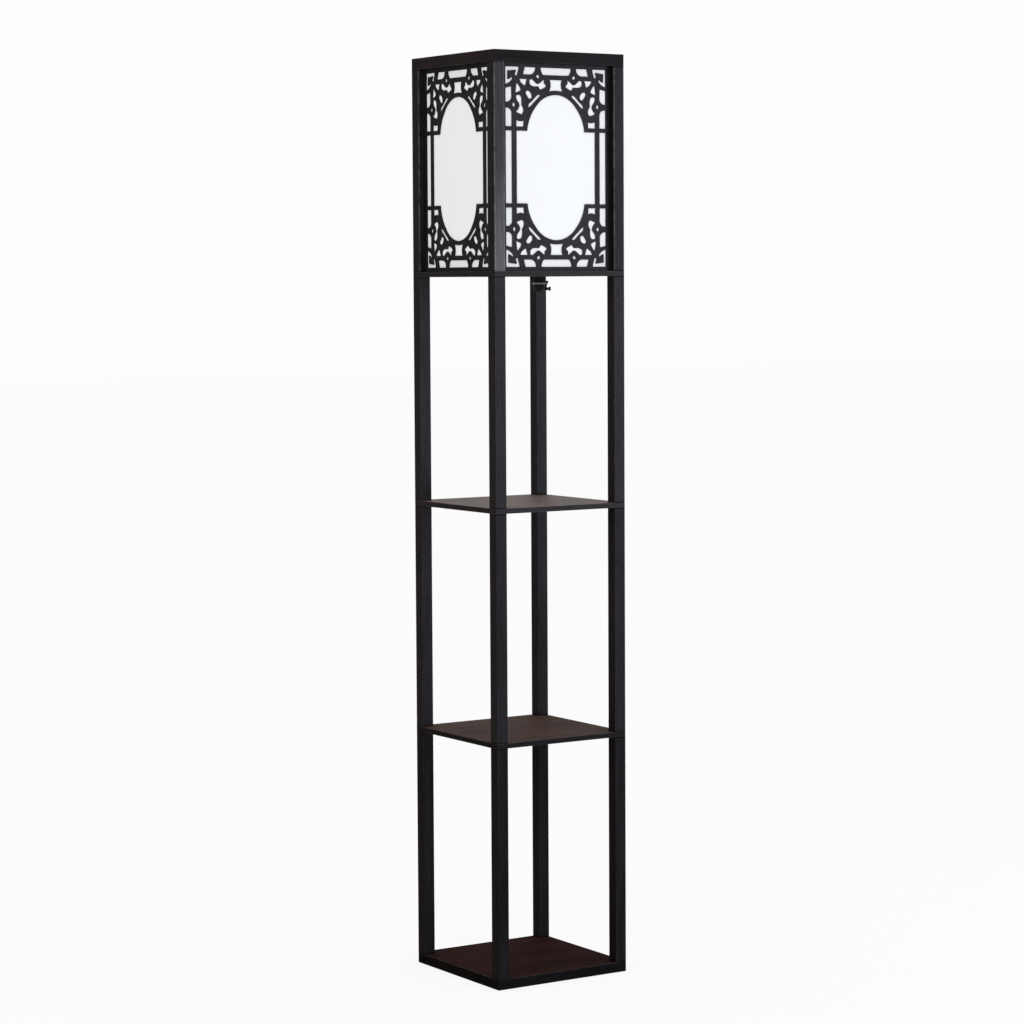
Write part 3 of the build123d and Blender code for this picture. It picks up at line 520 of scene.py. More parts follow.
# ---- mesh tools
@dataclass(frozen=True)
class Shell:
    """Points on a grid of rows by columns, shape (rows, columns, 3). Its columns close round an axis."""

    points: Array
    rows_close: bool = False

    def quads(self, start: int) -> Array:
        """Corner numbers of the grid's faces.

        Args:
            start: number of the grid's first point.

        Returns:
            An array of four corners a face, row by row.
        """
        rows, columns = self.points.shape[:2]
        faces = rows if self.rows_close else rows - 1
        i, j = np.divmod(np.arange(faces * columns), columns)
        down, along = (i + 1) % rows, (j + 1) % columns
        corners = (i * columns + j, i * columns + along, down * columns + along, down * columns + j)
        return start + np.stack(corners, 1)


@dataclass(frozen=True)
class Role:
    """What a new piece is: its name, the CAD node that it stands for, its body and material slot,
    and the angle in degrees above which its edges aren't smoothed."""

    name: str
    node: str
    body: str
    slot: str
    sharp: float = SMOOTH_ANGLE


def linked(name: str, data: bpy.types.ID) -> bpy.types.Object:
    """A new object in the scene with this data."""
    made = bpy.data.objects.new(name, data)
    bpy.context.scene.collection.objects.link(made)
    return made


def finished(role: Role, mesh: bpy.types.Mesh, finish: Finish) -> bpy.types.Object:
    """Links a mesh as a piece, at the origin and smoothly shaded.

    Args:
        role: what the piece is.
        mesh: its mesh.
        finish: its finish.

    Returns:
        The object.
    """
    mesh.shade_smooth()
    mesh.set_sharp_from_angle(angle=math.radians(role.sharp))
    mesh.materials.clear()
    mesh.materials.append(finish.material())
    made = linked(role.name, mesh)
    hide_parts(role.node)
    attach(made, role.body)
    log.info("%s: %d faces, finish %s, for %s", role.name, len(mesh.polygons), finish.name, role.node)
    return made


def piece(role: Role, shells: Sequence[Shell], finish: Finish) -> None:
    """Makes a piece from grids, with its normals outwards.

    Args:
        role: what the piece is.
        shells: its grids; points that fall together, as at a pole, are merged.
        finish: its finish.
    """
    starts = np.cumsum([0] + [s.points.shape[0] * s.points.shape[1] for s in shells])
    points = np.concatenate([s.points.reshape(-1, 3) for s in shells])
    quads = np.concatenate([s.quads(start) for s, start in zip(shells, starts)])
    mesh = bpy.data.meshes.new(role.name)
    mesh.from_pydata(points.tolist(), [], quads.tolist())
    work = bmesh.new()
    work.from_mesh(mesh)
    bmesh.ops.remove_doubles(work, verts=work.verts, dist=GRID_MERGE)
    bmesh.ops.recalc_face_normals(work, faces=work.faces)
    work.to_mesh(mesh)
    work.free()
    finished(role, mesh, finish)


def softened(role: Role, finish: Finish, radius: float) -> None:
    """Makes a piece from a merged copy of its CAD node, with sharp edges rounded by a Bevel.

    Args:
        role: what the piece is.
        finish: its finish.
        radius: width of the rounding, in metres.
    """
    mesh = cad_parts[role.node].data.copy()
    work = bmesh.new()
    work.from_mesh(mesh)
    bmesh.ops.remove_doubles(work, verts=work.verts, dist=CAD_MERGE)
    bmesh.ops.dissolve_limit(work, angle_limit=math.radians(FLAT_ANGLE), verts=work.verts, edges=work.edges)
    work.to_mesh(mesh)
    work.free()
    mesh.name = role.name
    bevel = finished(role, mesh, finish).modifiers.new("rounded_edges", "BEVEL")
    bevel.width = radius
    bevel.segments = 2
    bevel.limit_method = "ANGLE"
    bevel.angle_limit = math.radians(SMOOTH_ANGLE)
    bevel.use_clamp_overlap = True
    bevel.harden_normals = True


def dress(nodes: Sequence[str], finish: Finish) -> None:
    """Gives CAD nodes that stay a finish, by their objects' material slots.

    Args:
        nodes: the nodes' names.
        finish: the finish of them all.
    """
    for node in nodes:
        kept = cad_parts[node]
        kept.data.materials.clear()
        kept.data.materials.append(finish.material())
        log.info("%s: kept, finish %s", node, finish.name)


def extent(node: str) -> tuple[float, float, float]:
    """Foot, height and half width of a CAD node's box."""
    low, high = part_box(node)
    return low.z, high.z - low.z, (high.x - low.x) / 2


def on_axis(node: str, height: float) -> Point:
    """The middle of a CAD node's box in plan, at a height."""
    low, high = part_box(node)
    return ((low.x + high.x) / 2, (low.y + high.y) / 2, height)


def scaled(colour: Colour, share: float) -> Colour:
    """A colour times a number."""
    return tuple(channel * share for channel in colour)


def turns(steps: int) -> Array:
    """Angles of one full turn, in radians, without the last one."""
    return np.linspace(0.0, FULL_TURN, steps, endpoint=False)


def smooth_step(x: Array, low: float, high: float) -> Array:
    """0 below low, 1 above high, and 3t^2 - 2t^3 between."""
    t = np.clip((x - low) / (high - low), 0.0, 1.0)
    return t * t * (3.0 - 2.0 * t)


def plateau(x: Array, rise: tuple[float, float], fall: tuple[float, float]) -> Array:
    """1 between two smooth slopes, each given by its start and end."""
    return smooth_step(x, *rise) * (1.0 - smooth_step(x, *fall))


def wave(phase: Array) -> Array:
    """The raised cosine of a phase in radians: 0 at 0, 1 half a turn on."""
    return 0.5 - 0.5 * np.cos(phase)


def thread(z: Array, angle: Array, pitch: float) -> Array:
    """Depth of a right-hand thread, from 0 to 1: the wave of the helix phase."""
    return wave(FULL_TURN * z / pitch - angle)


def turned(
    profile: Array, steps: int, centre: Point, swell: Swell | None = None, closed: bool = True
) -> Shell:
    """A profile turned about an upright axis.

    Each point (r, z) of the profile goes to centre + (r cos a, r sin a, z), once the swell is added to r.

    Args:
        profile: rows of (radius, height).
        steps: columns round the axis.
        centre: a point of the axis; its height is added.
        swell: extra radius as a function of r, z and a.
        closed: the profile's last point joins its first.

    Returns:
        The grid.
    """
    r, z = profile[:, 0][:, None], profile[:, 1][:, None]
    angle = turns(steps)[None, :]
    radius = r + (swell(r, z, angle) if swell else 0.0) + 0.0 * angle
    x, y = centre[0] + radius * np.cos(angle), centre[1] + radius * np.sin(angle)
    return Shell(np.stack((x, y, centre[2] + z + 0.0 * angle), axis=-1), closed)


def rounded_profile(corners: Sequence[Point], per_corner: int = 6) -> Array:
    """A closed polygon with each corner cut by an arc-like curve.

    Between the points a and b at distance s before and after a corner c, the curve is the quadratic
    (1-t)^2 a + 2t(1-t) c + t^2 b.

    Args:
        corners: rows of (radius, height, rounding s).
        per_corner: points on each rounding.

    Returns:
        Rows of (radius, height).
    """
    array = np.array(corners, float)
    place, cut = array[:, :2], array[:, 2:3]
    before = np.roll(place, 1, axis=0) - place
    after = np.roll(place, -1, axis=0) - place
    before /= np.linalg.norm(before, axis=1, keepdims=True)
    after /= np.linalg.norm(after, axis=1, keepdims=True)
    a, b = place + before * cut, place + after * cut
    t = np.linspace(0.0, 1.0, per_corner)[None, :, None]
    curve = (1 - t) ** 2 * a[:, None] + 2 * t * (1 - t) * place[:, None] + t**2 * b[:, None]
    return curve.reshape(-1, 2)


def ring_profile(bore: float, outer: float, height: float, rounds: Point, per_corner: int = 6) -> Array:
    """A ring's section; rounds are those of the bore's ends, of the outer foot and of the outer top."""
    inner, foot, top = rounds
    rows = ((bore, 0.0, inner), (outer, 0.0, foot), (outer, height, top), (bore, height, inner))
    return rounded_profile(rows, per_corner)


def refined(profile: Array, longest: float) -> Array:
    """Adds points to the long runs of a closed profile.

    Args:
        profile: rows of (radius, height).
        longest: the largest distance that stays between two points.

    Returns:
        The rows, with the added ones.
    """
    following = np.roll(profile, -1, axis=0)
    counts = np.maximum(1, np.ceil(np.linalg.norm(following - profile, axis=1) / longest)).astype(int)
    owner = np.repeat(np.arange(len(profile)), counts)
    first = np.repeat(np.cumsum(counts) - counts, counts)
    share = ((np.arange(counts.sum()) - first) / counts[owner])[:, None]
    return profile[owner] * (1 - share) + following[owner] * share


# ---- carcass
@dataclass(frozen=True)
class LevelLook:
    """What differs from level to level of the posts: tone, sheen, how strong the rubbed and
    painted-highlight edges are, and how far in they reach. The tone is partly painted light, set per level
    to the sheen each height catches.
    """

    share: float
    gloss: float
    wear_and_glint: float
    reach: float


@dataclass(frozen=True)
class BoardLook:
    """What differs from board to board: stain, roughness, sheen and how light the sides are. Both colours
    are partly painted light: darker on the lower boards as painted shade under the shelves above, lighter
    on the upper shelf as a painted reflection.
    """

    dark: Colour
    light: Colour
    roughness: float
    gloss: float
    side_share: float


@dataclass
class Carcass:
    """Base, shelves, corner posts and the frame on top: CAD nodes kept, in dark stained wood.

    The cuts say where in the grain pattern each piece lies.
    """

    # The frame colours lean blue, partly as a painted cool sheen of the key light.
    frame_dark: Colour = (0.0058, 0.0053, 0.006)
    frame_light: Colour = (0.016, 0.015, 0.0176)
    rail_share: float = 0.75
    levels: tuple[tuple[str, LevelLook], ...] = (
        # Tone shares partly paint in light by height; the shade level's strong, wide edge lightening is
        # mostly a painted highlight on the corners.
        ("lower", LevelLook(1.0, 0.03, 0.15, 1.1 * MM)),
        ("middle", LevelLook(1.25, 0.065, 0.25, 1.1 * MM)),
        ("upper", LevelLook(1.2, 0.095, 0.35, 1.3 * MM)),
        ("shade", LevelLook(1.05, 0.095, 1.0, 3.2 * MM)),
    )
    # The lower boards are darker, tops and sides, and the upper shelf's top is lightest: partly stain,
    # partly painted shade under the shelves and a painted reflection on the upper shelf.
    boards: tuple[tuple[str, BoardLook], ...] = (
        ("base_board", BoardLook((0.012, 0.0045, 0.0042), (0.033, 0.0125, 0.0115), 0.8, 0.01, 0.6)),
        ("lower_shelf", BoardLook((0.035, 0.0195, 0.0155), (0.078, 0.048, 0.0395), 0.7, 0.03, 1.0)),
        ("upper_shelf", BoardLook((0.076, 0.055, 0.046), (0.155, 0.118, 0.102), 0.55, 0.08, 1.5)),
        ("shade_bottom_board", BoardLook((0.027, 0.018, 0.015), (0.052, 0.036, 0.03), 0.6, 0.1, 1.5)),
    )
    level_cut: float = 0.37
    corner_cut: float = 3.1
    board_cut: float = 2.0
    board_cut_step: float = 0.61
    rail_cut: float = 5.0
    rail_cut_step: float = 0.43
    post_roughness: float = 0.36
    rail_gloss: float = 0.04
    # Tint that makes the rails facing left and right lighter than those facing front and back: painted
    # light.
    rail_painted_side_light: Colour = (1.75, 1.3, 1.1)

    def build(self) -> None:
        """Dresses posts, boards and rails."""
        self.posts()
        for number, (node, look) in enumerate(self.boards):
            self.board(node, look, self.board_cut + self.board_cut_step * number)
        self.rails()

    def posts(self) -> None:
        """Each level of posts has its own cut of wood, with the grain upright."""
        for number, (level, look) in enumerate(self.levels):
            low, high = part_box(f"{level}_post_back_right")
            centre, half = (low.x + high.x) / 2, (high.x - low.x) / 2
            wood = {
                "grain": Grain.ALONG_Z,
                "dark": scaled(self.frame_dark, look.share),
                "light": scaled(self.frame_light, look.share),
                "gloss": look.gloss,
                "roughness": self.post_roughness,
                "edges": PostEdges(centre, half, low.z, high.z, look.reach),
                "wear_and_glint": look.wear_and_glint,
            }
            for corner_number, corner in enumerate(CORNERS):
                kind = BloomedWood if (level, corner) == ("shade", "front_left") else StainedWood
                shift = self.level_cut * (number + 1) + self.corner_cut * corner_number
                dress([f"{level}_post_{corner}"], kind(f"{level}_post_wood_{corner}", shift=shift, **wood))

    def board(self, node: str, look: BoardLook, shift: float) -> None:
        """A board with the grain from left to right and its sides stained like the posts.

        Args:
            node: its CAD node.
            look: its stain and sheen.
            shift: where its grain is cut from the pattern.
        """
        wood = StainedWood(
            f"{node}_wood", Grain.ALONG_X, look.dark, look.light, shift, look.roughness, look.gloss,
            self.rims(node), side=scaled(self.frame_dark, look.side_share),
        )
        dress([node], wood)

    @staticmethod
    def rims(node: str) -> BoardEdges:
        """The outer rims of a full-width node."""
        foot, height, half = extent(node)
        return BoardEdges(half, foot + height / 2, height / 2)

    def rails(self) -> None:
        """The frame on top, with the grain along each rail and the side rails lightened as painted light.
        """
        edges = self.rims("top_rail_front")
        dark, light = scaled(self.frame_dark, self.rail_share), scaled(self.frame_light, self.rail_share)
        for number, side in enumerate(SIDES):
            grain = Grain.ALONG_X if side in ("front", "back") else Grain.ALONG_Y
            cut = self.rail_cut + self.rail_cut_step * number
            wood = StainedWood(
                f"top_rail_{side}_wood", grain, dark, light, cut, gloss=self.rail_gloss,
                edges=edges, side=dark, painted_side_light=self.rail_painted_side_light,
            )
            dress([f"top_rail_{side}"], wood)


# ---- shade
@dataclass
class FretworkShade:
    """Four cut panels with softened edges, each with a white sheet behind it."""

    edge_round: float = 0.28 * MM
    dark: Colour = (0.009, 0.0084, 0.0096)
    light: Colour = (0.023, 0.0215, 0.024)
    # Share of the stain on the panels facing left and right: painted shade, darker than the front and back
    # panels.
    side_share: float = 0.6
    roughness: float = 0.38
    gloss: float = 0.1
    cut: float = 8.0
    cut_step: float = 0.29

    def build(self) -> None:
        """Makes the panels, the left and right ones darker as painted shade, and dresses the sheets."""
        for number, side in enumerate(SIDES):
            across = side in ("left", "right")
            share = self.side_share if across else 1.0
            wood = StainedWood(
                f"fret_{side}_wood", Grain.ALONG_Z, scaled(self.dark, share), scaled(self.light, share),
                self.cut + self.cut_step * number, self.roughness + StainedWood.cross_matt * across,
                self.gloss,
            )
            role = Role(f"fretwork_{side}", f"fret_panel_{side}", "frame", "fret_wood")
            softened(role, wood, self.edge_round)
        dress([f"diffuser_{side}" for side in SIDES], DiffuserSheet("diffuser_sheet_white"))


# ---- bracket
@dataclass
class Bracket:
    """Steel crossbar, its pan-head screws and the two grip nuts on the sleeve."""

    nut_columns: int = 240
    nut_round: float = 0.8 * MM
    bore_round: float = 0.2 * MM
    grips: int = 20
    grip_depth: float = 0.75 * MM
    screw_head: float = 3.8 * MM
    screw_shank: float = 2.0 * MM
    head_height: float = 2.2 * MM
    head_dome: float = 0.8
    head_rows: int = 22
    screw_columns: int = 48
    recess_depth: float = 1.3 * MM
    recess_arm: float = 2.1 * MM
    recess_width: float = 0.75 * MM

    def build(self) -> None:
        """Makes the nuts and screws and dresses the bar."""
        coat = PowderCoat("crossbar_powder_coat", (0.012, 0.012, 0.013), (0.03, 0.03, 0.03))
        dress(["holder_crossbar"], coat)
        self.nuts()
        self.screws()

    def nuts(self) -> None:
        """Rings with grip notches: the outer radius sinks in pulses round the rim."""
        bar, thickness, _ = extent("holder_crossbar")
        foot, _, outer = extent("holder_ring_nuts")
        bore = extent("holder_sleeve")[2]
        profile = ring_profile(bore, outer, bar - foot, (self.bore_round, self.nut_round, self.nut_round))

        def notches(r: Array, z: Array, angle: Array) -> Array:
            """Notches, deeper with the cube of the way out."""
            pulse = smooth_step(np.cos(self.grips * angle), 0.25, 0.85)
            return -self.grip_depth * pulse * ((r - bore) / (outer - bore)) ** 3

        places = [on_axis("holder_sleeve", low) for low in (foot, bar + thickness)]
        plastic = Moulded("nut_moulding", (0.012, 0.012, 0.012), (0.03, 0.03, 0.03), 0.34)
        role = Role("grip_nuts", "holder_ring_nuts", "frame", "holder_plastic")
        piece(role, [turned(profile, self.nut_columns, place, notches) for place in places], plastic)

    def screws(self) -> None:
        """The four screws, at the corners of their node's box."""
        low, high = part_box("crossbar_screws")
        shells = [
            self.screw((x, y, high.z - self.head_height), low.z)
            for x in (low.x + self.screw_head, high.x - self.screw_head)
            for y in (low.y + self.screw_head, high.y - self.screw_head)
        ]
        piece(Role("pan_head_screws", "crossbar_screws", "frame", "zinc_steel", 40.0), shells, ZINC_PLATE)

    def screw(self, seat: Point, tip: float) -> Shell:
        """One screw from the middle of its head out, over the rim and down the shank.

        The head's height at radius r is h sqrt(1 - d (r/R)^2), less a recess of two crossed bars.

        Args:
            seat: the middle of the head's underside.
            tip: height of the screw's end.

        Returns:
            The grid.
        """
        out = np.linspace(0.0, 1.0, self.head_rows) * self.screw_head
        dome = self.head_height * np.sqrt(1.0 - self.head_dome * (out / self.screw_head) ** 2)
        end = tip - seat[2]
        down = ((self.screw_head, 0.0), (self.screw_shank, 0.0), (self.screw_shank, end), (0.0, end))
        profile = np.concatenate((np.stack((out, dome), 1), down))
        shell = turned(profile, self.screw_columns, seat, closed=False)
        head = shell.points[: self.head_rows]
        x, y = head[..., 0] - seat[0], head[..., 1] - seat[1]
        arm = 1.0 - smooth_step(np.hypot(x, y), self.recess_arm * 0.75, self.recess_arm)
        across = np.minimum(abs(x), abs(y))
        slot = 1.0 - smooth_step(across, self.recess_width * 0.35, self.recess_width * 0.75)
        head[..., 2] -= self.recess_depth * arm * slot
        return shell


# ---- lampholder
@dataclass
class Lampholder:
    """Sleeve with an outer thread, knurled collar, cap, bushing, block, contact and screw shell."""

    black: Finish = Moulded("holder_phenolic", (0.0062, 0.006, 0.0055), (0.016, 0.016, 0.015), 0.58)
    sleeve_wall: float = 1.6 * MM
    sleeve_plain: float = 12.0 * MM
    sleeve_pitch: float = 2.0 * MM
    sleeve_thread: float = 0.6 * MM
    flutes: int = 30
    sleeve_columns: int = 216
    flute_depth: float = 0.22 * MM
    collar_bore: float = 7.0 * MM
    collar_bead: float = 1.3 * MM
    collar_knurls: int = 64
    collar_knurl_depth: float = 0.22 * MM
    shell_thread: float = 0.55 * MM
    shell_columns: int = 72
    shell_wall: float = 0.4 * MM
    shell_floor_hole: float = 4.6 * MM

    def build(self) -> None:
        """Makes the sleeve, collar and shell and dresses the rest."""
        self.sleeve()
        self.collar()
        self.screw_shell()
        dress(["holder_cap", "cord_inlet_bushing"], self.black)
        dress(["holder_block"], Glazed("block_porcelain", (0.78, 0.76, 0.7), (0.7, 0.67, 0.6), 0.16))
        brass = Metal("contact_brass", (0.72, 0.52, 0.24), (0.45, 0.32, 0.15), 0.34)
        dress(["holder_centre_contact"], brass)

    def sleeve(self) -> None:
        """The barrel, fluted below and threaded above."""
        foot, height, outer = extent("holder_sleeve")
        bore, plain, pitch = outer - self.sleeve_wall, self.sleeve_plain, self.sleeve_pitch
        profile = ring_profile(bore, outer, height, (0.15 * MM, 0.5 * MM, 0.3 * MM))

        def skin(r: Array, z: Array, angle: Array) -> Array:
            """Thread and flutes on the outer wall only."""
            threaded = plateau(z, (plain, plain + pitch), (height - pitch, height - 0.3 * MM))
            fluted = plateau(z, (1.2 * MM, 2.2 * MM), (plain - 2.6 * MM, plain - 1.6 * MM))
            flute = smooth_step(np.cos(self.flutes * angle), 0.0, 0.9)
            depth = self.sleeve_thread * thread(z, angle, pitch) * threaded
            return -(depth + self.flute_depth * flute * fluted) * (r > (bore + outer) / 2)

        place = on_axis("holder_sleeve", foot)
        shell = turned(refined(profile, FINE), self.sleeve_columns, place, skin)
        role = Role("threaded_sleeve", "holder_sleeve", "frame", "holder_plastic", 50.0)
        piece(role, [shell], self.black)

    def collar(self) -> None:
        """A bead ring with upright knurls: its outer radius sinks in waves round the axis."""
        foot, height, outer = extent("holder_collar")
        rounds = (0.2 * MM, self.collar_bead, self.collar_bead)
        profile = ring_profile(self.collar_bore, outer, height, rounds, 10)

        def knurls(r: Array, z: Array, angle: Array) -> Array:
            """Deepest on the middle of the bead."""
            there = smooth_step(r, outer - 0.9 * MM, outer - 0.1 * MM)
            return -self.collar_knurl_depth * there * wave(self.collar_knurls * angle)

        shell = turned(profile, self.collar_knurls * 8, on_axis("holder_sleeve", foot), knurls)
        gunmetal = Metal("collar_gunmetal", (0.185, 0.183, 0.172), (0.085, 0.084, 0.078), 0.34)
        piece(Role("knurled_collar", "holder_collar", "frame", "holder_metal", 60.0), [shell], gunmetal)

    def screw_shell(self) -> None:
        """A thin cup rolled into a screw: both faces of its wall follow the same thread."""
        foot, height, outer = extent("holder_screw_shell")
        inner, hole, wall = outer - self.shell_wall, self.shell_floor_hole, self.shell_wall
        profile = np.array((
            (hole, 0.0), (outer, 0.0), (outer, height), (inner, height), (inner, wall), (hole, wall),
        ))

        def rolled(r: Array, z: Array, angle: Array) -> Array:
            """The groove, away from the floor and the rim."""
            there = plateau(z, (1.0 * MM, 3.0 * MM), (height - 2.0 * MM, height - 0.6 * MM))
            upright = smooth_step(r, inner - 0.3 * MM, inner - 0.05 * MM)
            return -self.shell_thread * thread(z, angle, E14_PITCH) * there * upright

        place = on_axis("holder_sleeve", foot)
        shell = turned(refined(profile, 0.3 * MM), self.shell_columns, place, rolled)
        brass = Metal("shell_brass", (0.74, 0.55, 0.26), (0.5, 0.36, 0.17), 0.28)
        role = Role("rolled_screw_shell", "holder_screw_shell", "frame", "insert_brass", 60.0)
        piece(role, [shell], brass)


# ---- turn key
@dataclass
class TurnKey:
    """The key that works the switch: shaft, milled flange and a waisted paddle. Its axis is level."""

    shaft: float = 1.5 * MM
    flange: float = 3.1 * MM
    flange_thickness: float = 1.4 * MM
    paddle_length: float = 8.3 * MM
    paddle_root: float = 0.4 * MM
    paddle_half_thickness: float = 1.3 * MM
    paddle_power: float = 0.55
    paddle_columns: int = 48
    waist_share: float = 0.54
    tip_start: float = 0.74
    ribs: float = 9.0
    rib_depth: float = 0.14
    millings: int = 28
    milling_depth: float = 0.2 * MM

    def __post_init__(self) -> None:
        """Reads the key's place and height from its CAD box."""
        low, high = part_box("switch_key")
        self.start, self.flange_end = low.x, high.x - self.paddle_length
        self.height, self.half_height = (low.z + high.z) / 2, (high.z - low.z) / 2

    def build(self) -> None:
        """Makes the key and dresses the rotor."""
        black = Moulded("key_moulding", (0.006, 0.0058, 0.0056), (0.016, 0.016, 0.016), 0.34)
        role = Role("turn_key", "switch_key", "switch", "key_plastic", 45.0)
        piece(role, [self.stem(), self.paddle()], black)
        dress(["switch_rotor"], black)

    def stem(self) -> Shell:
        """Shaft and flange turned upright and laid along X, the flange's rim milled with small teeth."""
        near, end = self.flange_end - self.flange_thickness, self.flange_end
        rows = rounded_profile((
            (0.0, self.start, 0.0), (self.shaft, self.start, 0.2 * MM), (self.shaft, near, 0.1 * MM),
            (self.flange, near, 0.3 * MM), (self.flange, end, 0.3 * MM), (0.0, end, 0.0),
        ), 5)

        def teeth(r: Array, z: Array, angle: Array) -> Array:
            """Teeth only on the flange's rim."""
            there = smooth_step(r, self.flange - 0.7 * MM, self.flange - 0.2 * MM)
            return -self.milling_depth * there * wave(self.millings * angle)

        upright = turned(refined(rows, 0.6 * MM), self.millings * 6, (0.0, 0.0, 0.0), teeth)
        return Shell(upright.points[..., [2, 0, 1]] + (0.0, 0.0, self.height), rows_close=True)

    def paddle(self) -> Shell:
        """A flat grip: a super-ellipse at each place along X, waisted near the flange and ribbed.

        With u from 0 to 1 along the paddle, the half height rises smoothly from waist_share to 1. At
        the tip it is times (1 - w^4)^(1/2), with w from 0 to 1 over the last part.

        Returns:
            The grid, closed by a point at the flange.
        """
        last = 1.0 - 0.25 * np.linspace(1.0, 0.0, 18)[1:] ** 2
        u = np.concatenate((np.linspace(0.0, 0.75, 22), last))[:, None]
        waist = self.waist_share + (1.0 - self.waist_share) * smooth_step(u, 0.36, 0.6)
        w = np.clip((u - self.tip_start) / (1.0 - self.tip_start), 0.0, 1.0)
        end = np.sqrt(np.clip(1.0 - w**4, 0.0, 1.0))
        thinning = 1.0 - 0.15 * smooth_step(u, 0.1, 0.6)
        angle = turns(self.paddle_columns)[None, :]
        c, s = np.cos(angle), np.sin(angle)
        y = self.paddle_half_thickness * thinning * end * np.sign(c) * abs(c) ** self.paddle_power
        z = self.half_height * waist * end * np.sign(s) * abs(s) ** self.paddle_power
        ribbed = 1.0 - self.rib_depth * smooth_step(np.cos(FULL_TURN * u * self.ribs), 0.0, 0.8)
        y = y * np.where(abs(c) > 0.35, ribbed, 1.0)
        x = self.flange_end - self.paddle_root + u * (self.paddle_length + self.paddle_root) + 0.0 * y
        points = np.stack((x, y, z + self.height), axis=-1)
        start = points[:1].copy()
        start[..., 1:] = (0.0, self.height)
        return Shell(np.concatenate((start, points)))


# ---- bulb
@dataclass
class Bulb:
    """LED globe bulb: a rolled screw cap, with the neck, light board, globe and contacts dressed."""

    cap_thread: float = 0.5 * MM
    cap_wall: float = 0.6 * MM
    cap_columns: int = 72
    chip_height: float = 0.7 * MM

    def build(self) -> None:
        """Makes the cap and dresses the rest."""
        self.cap()
        _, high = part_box("bulb_led_board")
        dress(["bulb_led_board"], LightBoard("light_board", high.z - self.chip_height))
        dress(["bulb_neck"], Glazed("neck_moulding", (0.8, 0.8, 0.78), (0.74, 0.74, 0.72), 0.3, 0.05))
        dress(["bulb_globe"], Glazed("opal_globe", (0.88, 0.88, 0.86), (0.83, 0.83, 0.81), 0.22, 0.25))
        dress(["bulb_insulator"], Glazed("black_glass", (0.01, 0.01, 0.014), (0.022, 0.022, 0.028), 0.1))
        dress(["bulb_tip_contact"], Metal("tip_solder", (0.6, 0.59, 0.56), (0.42, 0.41, 0.38), 0.38))

    def cap(self) -> None:
        """The cap's wall is rolled into a screw on its outside."""
        foot, height, outer = extent("bulb_screw_cap")
        wall = self.cap_wall
        inner, lip = outer - wall, outer - 2 * wall
        profile = np.array((
            (lip, 0.0), (outer - 0.5 * MM, 0.0), (outer, 0.6 * MM), (outer, height), (inner, height),
            (inner, wall), (lip, wall),
        ))

        def rolled(r: Array, z: Array, angle: Array) -> Array:
            """The groove, fading at the foot and under the plain band at the top."""
            there = plateau(z, (0.6 * MM, 2.4 * MM), (height - 4.5 * MM, height - 2.8 * MM))
            return -self.cap_thread * thread(z, angle, E14_PITCH) * there * (r > (inner + outer) / 2)

        place = on_axis("bulb_screw_cap", foot)
        shell = turned(refined(profile, FINE), self.cap_columns, place, rolled)
        nickel = Metal("cap_nickel", (0.66, 0.65, 0.62), (0.48, 0.47, 0.44), 0.24)
        piece(Role("rolled_bulb_cap", "bulb_screw_cap", "bulb", "bulb_nickel", 60.0), [shell], nickel)


# ---- fasteners
@dataclass
class Fasteners:
    """Inserts, studs, bolts and dowels: CAD nodes kept in plain metal and beech."""

    beech_dark: Colour = (0.42, 0.27, 0.15)
    beech_light: Colour = (0.56, 0.38, 0.22)

    def build(self) -> None:
        """Dresses them."""
        brass = Metal("insert_brass", (0.72, 0.54, 0.26), (0.5, 0.37, 0.18), 0.32)
        beech = StainedWood(
            "dowel_beech", Grain.ALONG_Z, self.beech_dark, self.beech_light, 11.0, roughness=0.62, gloss=0.3
        )
        dress(["shelf_studs", "base_bolts"], ZINC_PLATE)
        dress(["post_inserts"], brass)
        dress(["top_frame_dowels", "rail_corner_dowels"], beech)


# ---- studio
@dataclass(frozen=True)
class SoftBox:
    """One rectangular lamp that faces a point. Its radiance is its power over pi and its area."""

    name: str
    place: Point
    target: Point
    width: float
    height: float
    radiance: float
    colour: Colour = WHITE
    glossy: bool = True

    def build(self) -> None:
        """Adds the lamp."""
        data = bpy.data.lights.new(self.name, "AREA")
        data.shape = "RECTANGLE"
        data.size, data.size_y = self.width, self.height
        data.energy = self.radiance * math.pi * self.width * self.height
        data.color = self.colour
        lamp = linked(self.name, data)
        lamp.location = self.place
        lamp.rotation_euler = (Vector(self.target) - Vector(self.place)).to_track_quat("-Z", "Y").to_euler()
        lamp.visible_camera = False
        lamp.visible_glossy = self.glossy
        log.info("%s: lamp, radiance %.2f", self.name, self.radiance)


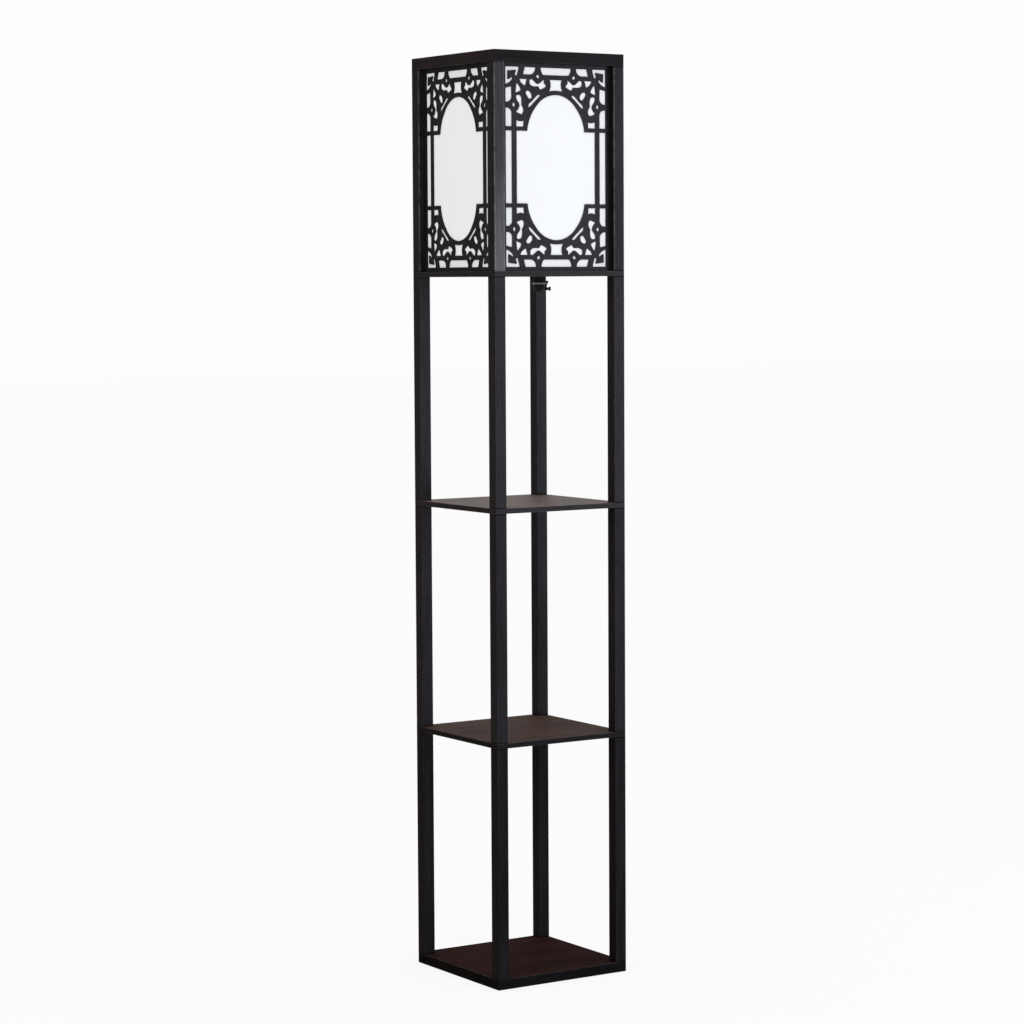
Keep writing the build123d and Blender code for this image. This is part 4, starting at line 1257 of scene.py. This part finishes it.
@dataclass
class Studio:
    """Camera at the photograph's place, white surroundings, pale floor and soft boxes."""

    azimuth: float = -32.861
    distance: float = 5.2935
    eye_height: float = 1.2109
    aside: float = -0.0125
    pitch: float = 4.125
    roll: float = -0.309
    focal_pixels: float = 3027.65
    principal_y: float = 500.0
    picture: float = 1024.0
    sensor: float = 36.0
    white: float = 0.98
    sky_diffuse: float = 0.82
    floor_glow: float = 0.86
    floor_colour: Colour = (0.93, 0.93, 0.93)
    floor_size: float = 60.0

    def build(self) -> None:
        """Adds camera, world, floor and lamps."""
        self.camera()
        self.surroundings()
        self.floor()
        self.lamps()

    def camera(self) -> None:
        """The camera stands at (aside, -distance, eye_height), tilted and rolled, all turned by azimuth."""
        azimuth, tilt, roll = (math.radians(a) for a in (self.azimuth, self.pitch, self.roll))
        data = bpy.data.cameras.new("photo_camera")
        data.sensor_width = self.sensor
        data.lens = self.focal_pixels / self.picture * self.sensor
        data.shift_y = (self.principal_y - self.picture / 2) / self.picture
        data.clip_end = 200.0
        camera = linked("photo_camera", data)
        camera.matrix_world = (
            Matrix.Rotation(azimuth, 4, "Z")
            @ Matrix.Translation((self.aside, -self.distance, self.eye_height))
            @ Matrix.Rotation(math.pi / 2 - tilt, 4, "X")
            @ Matrix.Rotation(roll, 4, "Z")
        )
        bpy.context.scene.camera = camera
        bpy.context.scene.view_settings.view_transform = "Standard"

    def surroundings(self) -> None:
        """White where the camera, glass or metal looks; a little softer for the light on surfaces."""
        world = bpy.data.worlds.new("studio")
        bpy.context.scene.world = world
        graph = Graph(world)
        strength = graph.seen() * (self.white - self.sky_diffuse) + self.sky_diffuse
        shader = graph.add("ShaderNodeBackground", {}, {"Color": WHITE, "Strength": strength})
        graph.end(shader, "ShaderNodeOutputWorld")

    def floor(self) -> None:
        """A wide pale floor, white where it is seen, that keeps the shadow and is clear from below."""
        half = self.floor_size / 2
        mesh = bpy.data.meshes.new("floor")
        square = [(-half, -half, 0), (half, -half, 0), (half, half, 0), (-half, half, 0)]
        mesh.from_pydata(square, [], [(0, 1, 2, 3)])
        material = bpy.data.materials.new("floor_pale")
        graph = Graph(material)
        glow = graph.add("ShaderNodeEmission", {}, {"Color": WHITE, "Strength": 1.0})
        matte = graph.add("ShaderNodeBsdfDiffuse", {}, {"Color": self.floor_colour})
        above = graph.add("ShaderNodeMixShader", {}, {0: graph.seen() * self.floor_glow, 1: matte, 2: glow})
        below = graph.add("ShaderNodeBsdfTransparent", {}, {})
        back = graph.add("ShaderNodeNewGeometry", {}, {}, "Backfacing")
        graph.end(graph.add("ShaderNodeMixShader", {}, {0: back, 1: above, 2: below}))
        mesh.materials.append(material)
        floor = linked("floor", mesh)

    def lamps(self) -> None:
        """A cool key from the right front and a weak fill from the left."""
        middle = (0.0, 0.0, 0.95)
        SoftBox("key_box", (1.9, -2.7, 1.15), middle, 0.9, 1.9, 4.6, (0.88, 0.93, 1.0)).build()
        SoftBox("fill_box", (-3.2, -1.6, 1.6), middle, 1.6, 1.8, 1.5, glossy=False).build()


# ---- main
def corners(box: tuple[Vector, Vector]) -> list[list[float]]:
    """A box as plain lists."""
    return [list(corner) for corner in box]


def main() -> None:
    """Builds every sub-assembly in order."""
    logging.basicConfig(level=logging.INFO, format="%(name)s: %(message)s")
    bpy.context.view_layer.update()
    Studio().build()
    for assembly in (Carcass(), FretworkShade(), Bracket(), Lampholder(), TurnKey(), Bulb(), Fasteners()):
        assembly.build()
        log.info("%s done", type(assembly).__name__)


if __name__ == "__main__":
    main()
